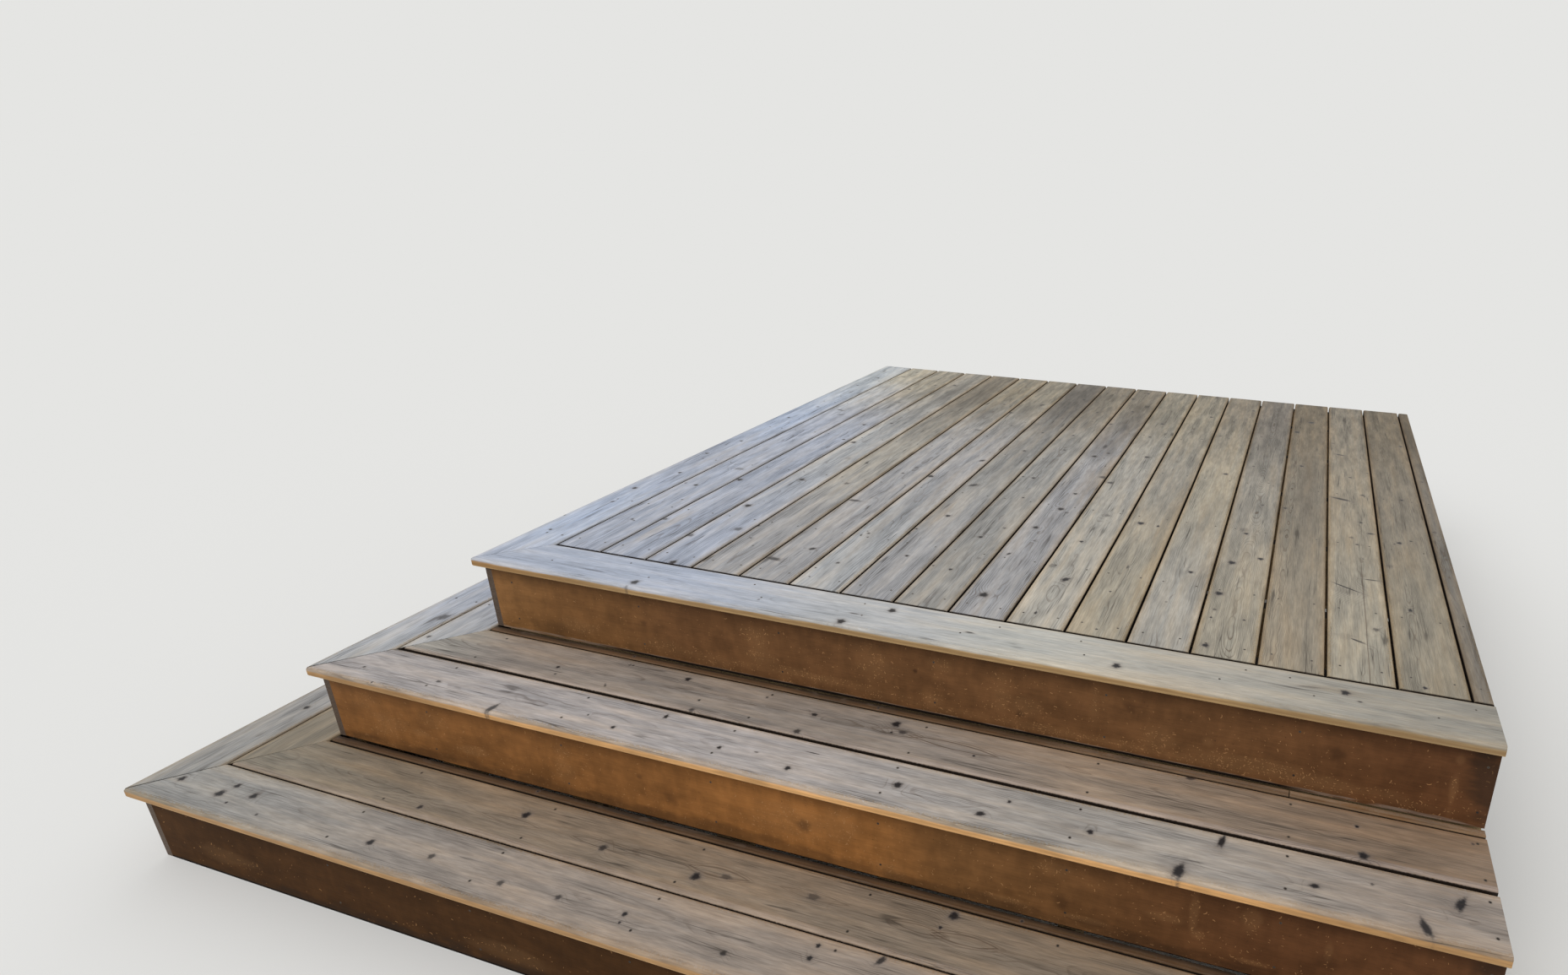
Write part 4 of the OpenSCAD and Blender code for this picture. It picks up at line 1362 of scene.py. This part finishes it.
def wornStain(tree, look, marks):
    # Mottled stain with knots showing through, dirt, scuffs and nicks, and painted shade under the tread
    # above
    colour = toneAlong(tree, marks["along"], look["tones"], look["places"], riserTones)
    broad = swing(tree, marks["broad"], -0.2, 0.2, riserAmounts["broad"])
    mottle = swing(tree, marks["mottle"], 0.3, 0.7, riserAmounts["mottle"])
    fibre = swing(tree, marks["fibre"], 0.25, 0.75, riserAmounts["fibre"])
    shade = calc(tree, "MULTIPLY", calc(tree, "MULTIPLY", broad, mottle), fibre)
    colour = shaded(tree, colour, shade)
    knots = marks["knots"]
    soft = calc(tree, "MULTIPLY", fade(tree, knots["Near"], 1.7, 0.3), knots["Shade"])
    speck = fade(tree, marks["speck"], 0.70, 0.78, 0, riserAmounts["speck"])
    colour = stain(tree, colour, soft, riserColours["knot"])
    colour = stain(tree, colour, speck, riserColours["dirt"])
    colour = stain(tree, colour, marks["scuffed"], riserColours["scuff"], riserAmounts["scuffed"])
    colour = stain(tree, colour, marks["nick"], riserColours["scuff"], riserAmounts["nick"])
    colour = stain(tree, colour, marks["smudge"], riserColours["dirt"], riserAmounts["smudge"])
    # Painted shade under the tread above
    level = calc(tree, "MULTIPLY_ADD", marks["broad"], 0.02, marks["up"])
    paintedShade = fadeOver(tree, level, riserPlaces["paintedShadeUnderTread"], 1, riserAmounts["paintedShadeUnderTread"])
    return shaded(tree, colour, paintedShade)


def riserFoot(tree, look, marks, colour):
    # A painted shadow blackens the foot, and on some risers a worn pale line shows above it
    up = calc(tree, "MULTIPLY_ADD", marks["broad"], 0.003, marks["up"])
    bare = fade(tree, marks["fibre"], 0.35, 0.6, 0, look["foot"])
    worn = calc(tree, "MULTIPLY", fadeOver(tree, up, riserPlaces["bareFoot"]), bare)
    colour = stain(tree, colour, worn, riserColours["bareFoot"])
    # Painted shadow along the foot, on some risers only over part of their length
    footShadow = fadeOver(tree, up, (look["footShadowTop"] + 0.5, look["footShadowTop"] - 1))
    if look["footShadow"]:
        start, end = look["footShadow"]
        shadowBegins = (start, start + riserPlaces["footShadowStart"])
        shadowEnds = (end, end - riserPlaces["footShadowEnd"])
        footShadow = calc(tree, "MULTIPLY", footShadow, fadeOver(tree, marks["along"], shadowBegins))
        footShadow = calc(tree, "MULTIPLY", footShadow, fadeOver(tree, marks["along"], shadowEnds))
    return stain(tree, colour, footShadow, riserColours["footShadowColour"])


def finishRiser(name, seed, given):
    look = dict(riserDefaults, **given)
    material, tree, shader = newMaterial(name)
    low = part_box(name)[0]
    if name.endswith("front"):
        directions = ("x", "z", "-y")
        start = (cornerX, low.y, low.z)
    else:
        directions = ("y", "z", "-x")
        start = (low.x, cornerY, low.z)
    space = boardSpace(tree, directions, start)
    marks = riserMarks(tree, look, space, seedShift(seed))
    colour = wornStain(tree, look, marks)
    colour = riserFoot(tree, look, marks, colour)
    back = fadeOver(tree, marks["out"], riserPlaces["back"])
    colour = stain(tree, colour, back, riserColours["back"])
    ends = stain(tree, riserColours["end"], marks["fibre"], riserColours["endRing"])
    colour = stain(tree, colour, endMask(tree, directions[0]), ends)

    height = calc(tree, "MULTIPLY_ADD", marks["speck"], 0.5, marks["fibre"])
    bump = add(tree, "Bump", {"Height": height, "Strength": riserAmounts["bump"], "Distance": 0.0005})
    nickRoughness = (marks["nick"], riserAmounts["nickRoughness"], riserAmounts["roughness"])
    put(tree, shader["Base Color"], colour)
    put(tree, shader["Roughness"], calc(tree, "MULTIPLY_ADD", *nickRoughness))
    put(tree, shader["Normal"], bump.outputs[0])
    shader["Specular IOR Level"].default_value = look["gloss"]
    dress(name, material)


for seed, (name, look) in enumerate(risers.items(), 51):
    finishRiser(name, seed, look)
print("risers finished")


# Framing: sawn softwood, a little aged, each member with a grain and tone of its own
framingFinish = {
    "pale": (176, 150, 108),
    "aged": (146, 122, 90),
    "ring": (122, 92, 56),
    "knot": (88, 58, 36),
    "end": (152, 124, 84),
    "endRing": (108, 80, 50),
    "grime": (92, 78, 60),
    "gapDirt": (46, 36, 28),
}
framingColours = {key: paint(*value) for key, value in framingFinish.items()}
framingLook = {  # sizes are in metres
    "memberPitch": 0.19,  # less than the distance between two like members
    "memberShift": 1.37,
    "knotPlaces": (2.6, 11, 0),
    "knotBulge": 0.012,
    "knotDark": 0.85,
    "pithAcross": 0.08,
    "pithDepth": -0.05,
    "slope": 0.006,
    "ringWidth": 0.0045,
    "wander": 0.02,
    "ringShow": 0.5,
    "fibre": (13, 260, 260),
    "cloud": (2, 8, 8),
    "saw": (300, 6, 6),
    "grime": 0.7,
    "roughness": 0.75,
    "bump": 0.4,
}
framingRuns = {  # the members that run along each axis
    "x": ["ledger_board", "rim_joist_front", "deck_joists", "header_front", "stringers_left"],
    "y": ["rim_joist_left", "rim_joist_right", "header_left", "stringers_front", "hip_stringer"],
    "z": ["post_front_left", "post_front_middle", "post_front_right", "post_left_middle",
          "post_left_back"],
}
framingDirections = {"x": ("x", "z", "-y"), "y": ("y", "z", "x"), "z": ("z", "x", "y")}


def framingGround(tree, cloud):
    # Grime that splashed up from the ground, higher in some places
    up = add(tree, "SeparateXYZ", {0: add(tree, "TexCoord", {}).outputs["Object"]}).outputs[2]
    damp = calc(tree, "MULTIPLY_ADD", cloud, 0.12, 0.02)
    return fade(tree, calc(tree, "SUBTRACT", up, damp), 0.05, -0.05, 0, framingLook["grime"])


def finishFraming(name, seed, direction):
    material, tree, shader = newMaterial(name)
    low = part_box(name)[0]
    space = boardSpace(tree, framingDirections[direction], tuple(low))
    depth = add(tree, "SeparateXYZ", {0: space}).outputs[2]
    member = calc(tree, "FLOOR", calc(tree, "DIVIDE", depth, framingLook["memberPitch"]))
    own = calc(tree, "MULTIPLY", calc(tree, "ADD", member, seed), framingLook["memberShift"])
    shift = add(tree, "CombineXYZ", {"X": own, "Y": own, "Z": own}).outputs[0]
    moved = calcVector(tree, "ADD", space, shift)
    places = calcVector(tree, "MULTIPLY", moved, framingLook["knotPlaces"])
    away = add(tree, "TexVoronoi", {"Vector": places, "Scale": 1}).outputs["Distance"]
    rings = useGroup(tree, grainGroup, {
        "Vector": space, "Shift": shift, "Pith across": framingLook["pithAcross"],
        "Pith depth": framingLook["pithDepth"], "Slope": framingLook["slope"],
        "Ring width": framingLook["ringWidth"], "Wander": framingLook["wander"],
        "Bulge": fade(tree, away, 0.45, 0, 0, framingLook["knotBulge"]),
    })["Late"]
    fibre = noise(tree, moved, framingLook["fibre"], 1, 0.6)
    cloud = noise(tree, moved, framingLook["cloud"], 3, 0.6)
    saw = fade(tree, noise(tree, moved, framingLook["saw"], 1), 0.3, 0.7, 0.93, 1.05)

    aged = fade(tree, cloud, 0.35, 0.65)
    colour = stain(tree, framingColours["pale"], aged, framingColours["aged"])
    colour = stain(tree, colour, rings, framingColours["ring"], framingLook["ringShow"])
    colour = shaded(tree, colour, calc(tree, "MULTIPLY", saw, fade(tree, fibre, 0.25, 0.75, 0.90, 1.08)))
    knots = fade(tree, away, 0.13, 0.06, 0, framingLook["knotDark"])
    colour = stain(tree, colour, knots, framingColours["knot"])
    colour = stain(tree, colour, framingGround(tree, cloud), framingColours["grime"])
    ends = stain(tree, framingColours["end"], rings, framingColours["endRing"])
    colour = stain(tree, colour, endMask(tree, direction), ends)
    # Upward faces lie under the gaps between the boards, and painted shade and dirt darken them
    upward = add(tree, "SeparateXYZ", {0: add(tree, "TexCoord", {}).outputs["Normal"]}).outputs[2]
    colour = stain(tree, colour, fade(tree, upward, 0.8, 0.95), framingColours["gapDirt"])

    bump = add(tree, "Bump", {"Height": fibre, "Strength": framingLook["bump"], "Distance": 0.0006})
    put(tree, shader["Base Color"], colour)
    shader["Roughness"].default_value = framingLook["roughness"]
    put(tree, shader["Normal"], bump.outputs[0])
    dress(name, material)


for direction, names in framingRuns.items():
    for seed, name in enumerate(names, 61):
        finishFraming(name, seed, direction)
print("framing finished")


# Screws in the boards and nails in the risers
screwLook = {
    "headRadius": 2.7,
    "headProud": 0.1,
    "driveRadius": 1.3,
    "driveProud": 0.15,
    "depth": 1.5,
    "sides": 10,
    "paleHead": ((84, 78, 72), (122, 115, 106)),
    "darkHead": ((44, 39, 35), (84, 76, 67)),
    "recessShade": ((20, 17, 14), (48, 40, 33)),
    "metal": 0.55,
    "roughness": (0.5, 0.75),
    "recessRoughness": 0.85,
}


def screwMaterial(name, tones):
    material, tree, shader = newMaterial(name)
    place = add(tree, "TexCoord", {}).outputs["Object"]
    worn = noise(tree, place, (6, 6, 6), 1)
    dark, light = [paint(*tone) for tone in tones]
    colour = blendColour(tree, fade(tree, worn, 0.35, 0.65), dark, light)
    put(tree, shader["Base Color"], colour)
    put(tree, shader["Roughness"], fade(tree, worn, 0.3, 0.7, *screwLook["roughness"]))
    shader["Metallic"].default_value = screwLook["metal"]
    return material


# The drive is a near-black disc just proud of the head: painted shade standing in for a hollow drive
def driveMaterial():
    material, tree, shader = newMaterial("screw_recess_shade")
    place = add(tree, "TexCoord", {}).outputs["Object"]
    dirt = noise(tree, place, (900, 900, 900), 2)
    dark, light = [paint(*tone) for tone in screwLook["recessShade"]]
    put(tree, shader["Base Color"], blendColour(tree, dirt, dark, light))
    shader["Roughness"].default_value = screwLook["recessRoughness"]
    return material


def makeScrewTree():
    tree = bpy.data.node_groups.new("screw heads", "GeometryNodeTree")
    sockets = tree.interface
    sockets.new_socket(name="Points", in_out="INPUT", socket_type="NodeSocketGeometry")
    for label in ("Head radius", "Head proud", "Drive radius", "Drive proud", "Depth"):
        sockets.new_socket(name=label, in_out="INPUT", socket_type="NodeSocketFloat")
    sockets.new_socket(name="Sides", in_out="INPUT", socket_type="NodeSocketInt")
    sockets.new_socket(name="Turn", in_out="INPUT", socket_type="NodeSocketVector")
    sockets.new_socket(name="Head finish", in_out="INPUT", socket_type="NodeSocketMaterial")
    sockets.new_socket(name="Drive finish", in_out="INPUT", socket_type="NodeSocketMaterial")
    sockets.new_socket(name="Screws", in_out="OUTPUT", socket_type="NodeSocketGeometry")
    takes = tree.nodes.new("NodeGroupInput").outputs
    gives = tree.nodes.new("NodeGroupOutput").inputs
    heads = tree.nodes.new("GeometryNodeJoinGeometry")
    for part in ("Head", "Drive"):
        disc = tree.nodes.new("GeometryNodeMeshCylinder")
        tree.links.new(takes["Sides"], disc.inputs["Vertices"])
        tree.links.new(takes[part + " radius"], disc.inputs["Radius"])
        tree.links.new(takes["Depth"], disc.inputs["Depth"])
        half = tree.nodes.new("ShaderNodeMath")
        half.operation = "MULTIPLY_ADD"
        half.inputs[1].default_value = -0.5
        tree.links.new(takes["Depth"], half.inputs[0])
        tree.links.new(takes[part + " proud"], half.inputs[2])
        up = tree.nodes.new("ShaderNodeCombineXYZ")
        tree.links.new(half.outputs[0], up.inputs["Z"])
        lift = tree.nodes.new("GeometryNodeTransform")
        tree.links.new(disc.outputs["Mesh"], lift.inputs["Geometry"])
        tree.links.new(up.outputs[0], lift.inputs["Translation"])
        coat = tree.nodes.new("GeometryNodeSetMaterial")
        tree.links.new(lift.outputs[0], coat.inputs["Geometry"])
        tree.links.new(takes[part + " finish"], coat.inputs["Material"])
        tree.links.new(coat.outputs[0], heads.inputs[0])
    spread = tree.nodes.new("GeometryNodeInstanceOnPoints")
    tree.links.new(takes["Points"], spread.inputs["Points"])
    tree.links.new(heads.outputs[0], spread.inputs["Instance"])
    tree.links.new(takes["Turn"], spread.inputs["Rotation"])
    real = tree.nodes.new("GeometryNodeRealizeInstances")
    tree.links.new(spread.outputs[0], real.inputs[0])
    tree.links.new(real.outputs[0], gives["Screws"])
    return tree


screwTree = makeScrewTree()
paleHeads = screwMaterial("pale_screw_head", screwLook["paleHead"])
darkHeads = screwMaterial("dark_screw_head", screwLook["darkHead"])
driveFinish = driveMaterial()


def placeScrews(name, places, turn, headFinish):
    mesh = bpy.data.meshes.new(name + "_points")
    mesh.from_pydata(places, [], [])
    holder = bpy.data.objects.new(name + "_points", mesh)
    bpy.context.scene.collection.objects.link(holder)
    modifier = holder.modifiers.new("screws", "NODES")
    modifier.node_group = screwTree
    settings = {
        "Head radius": screwLook["headRadius"] * mm, "Head proud": screwLook["headProud"] * mm,
        "Drive radius": screwLook["driveRadius"] * mm, "Drive proud": screwLook["driveProud"] * mm,
        "Depth": screwLook["depth"] * mm, "Sides": screwLook["sides"], "Turn": turn,
        "Head finish": headFinish, "Drive finish": driveFinish,
    }
    for socket in screwTree.interface.items_tree:
        if socket.in_out == "INPUT" and socket.name in settings:
            modifier[socket.identifier] = settings[socket.name]
    ready = holder.evaluated_get(bpy.context.evaluated_depsgraph_get())
    screws = bpy.data.objects.new(name, bpy.data.meshes.new_from_object(ready))
    bpy.context.scene.collection.objects.link(screws)
    bpy.data.objects.remove(holder)
    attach(screws, "root")
    print(name, len(places), "screws")


def boardPlace(level, x, y):
    # x and y in millimetres from the deck's front left corner
    return (cornerX + x * mm, cornerY + y * mm, levels[level][2])


def deckScrewPlaces():
    inset = screwPlan["deckInset"]
    pitch = deckPlan["pitch"]
    boards = range(1, deckPlan["wholeBoards"] + 1)
    rows = [i * pitch + place for i in boards for place in (inset, deckPlan["boardWidth"] - inset)]
    rows.append((deckPlan["wholeBoards"] + 1) * pitch + deckPlan["rippedMiddle"])
    rows += screwPlan["borderRows"]
    places = [boardPlace("deck", row, line) for line in screwPlan["joistLines"] for row in rows]
    outer, inner = screwPlan["borderRows"]
    places += [boardPlace("deck", x, outer) for x in screwPlan["borderOuter"]]
    places += [boardPlace("deck", x, inner) for x in screwPlan["borderInner"]]
    return places


def treadScrewPlaces():
    places = []
    for name, look in treads.items():
        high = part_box(name)[1]
        level = name.split("_")[0]
        for line in screwPlan["stringerLines"]:
            for row in look["rows"]:
                if "front" in name:
                    spot = (cornerX + line * mm, levels[level][1] + row * mm, levels[level][2])
                    free = high.x - spot[0]
                else:
                    spot = (levels[level][0] + row * mm, cornerY + line * mm, levels[level][2])
                    free = high.y - spot[1]
                if free > screwPlan["endRoom"] * mm:
                    places.append(spot)
    return places


def riserNailPlaces(side):
    places = []
    for step in ("top", "middle", "bottom"):
        low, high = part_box(step + "_riser_" + side)
        for line in screwPlan["stringerLines"]:
            for row in screwPlan["riserRows"]:
                if side == "front":
                    places.append((cornerX + line * mm, low.y, low.z + row * mm))
                elif cornerY + line * mm < high.y:
                    places.append((low.x, cornerY + line * mm, low.z + row * mm))
    return places


placeScrews("deck_screws", deckScrewPlaces(), (0, 0, 0), paleHeads)
placeScrews("tread_screws", treadScrewPlaces(), (0, 0, 0), darkHeads)
placeScrews("front_riser_nails", riserNailPlaces("front"), (radians(90), 0, 0), darkHeads)
placeScrews("left_riser_nails", riserNailPlaces("left"), (0, radians(-90), 0), darkHeads)


# Studio: a pale floor that runs into a pale background, soft light from above and the front left
studio = {
    "floorSize": 600,
    "floorColour": (226, 226, 224),
    "skyLight": 0.66,
    "lampPower": 1.55,
    "lampSoftness": 50,
    "lampTilt": (38, -18, 0),
}


def makeStudio():
    world = bpy.data.worlds.new("studio")
    bpy.context.scene.world = world
    world.use_nodes = True
    tree = world.node_tree
    light = tree.nodes["Background"]
    light.inputs["Color"].default_value = (1, 1, 1, 1)
    light.inputs["Strength"].default_value = studio["skyLight"]
    # The background takes the brightness that the lit floor has, so no edge shows between them
    tilt = cos(radians(studio["lampTilt"][0])) * cos(radians(studio["lampTilt"][1]))
    floorLight = studio["skyLight"] + studio["lampPower"] * tilt / pi
    backdrop = add(tree, "Background", {"Color": paint(*studio["floorColour"]), "Strength": floorLight})
    rays = add(tree, "LightPath", {}).outputs
    seen = calc(tree, "MAXIMUM", calc(tree, "MAXIMUM", rays["Is Camera Ray"], rays["Is Glossy Ray"]),
                rays["Is Transmission Ray"])
    both = add(tree, "MixShader", {0: seen, 1: light.outputs[0], 2: backdrop.outputs[0]})
    tree.links.new(both.outputs[0], tree.nodes["World Output"].inputs["Surface"])

    lamp = bpy.data.lights.new("soft lamp", "SUN")
    lamp.energy = studio["lampPower"]
    lamp.angle = radians(studio["lampSoftness"])
    holder = bpy.data.objects.new("soft lamp", lamp)
    holder.rotation_euler = [radians(angle) for angle in studio["lampTilt"]]
    bpy.context.scene.collection.objects.link(holder)

    half = studio["floorSize"] / 2
    mesh = bpy.data.meshes.new("floor")
    corners = [(-half, -half, 0), (half, -half, 0), (half, half, 0), (-half, half, 0)]
    mesh.from_pydata(corners, [], [(0, 1, 2, 3)])
    floor = bpy.data.objects.new("floor", mesh)
    bpy.context.scene.collection.objects.link(floor)
    material, tree, shader = newMaterial("floor")
    shader["Base Color"].default_value = paint(*studio["floorColour"])
    shader["Roughness"].default_value = 1
    shader["Specular IOR Level"].default_value = 0
    mesh.materials.append(material)


makeStudio()
bpy.context.scene.view_settings.view_transform = "Standard"
print("studio ready")
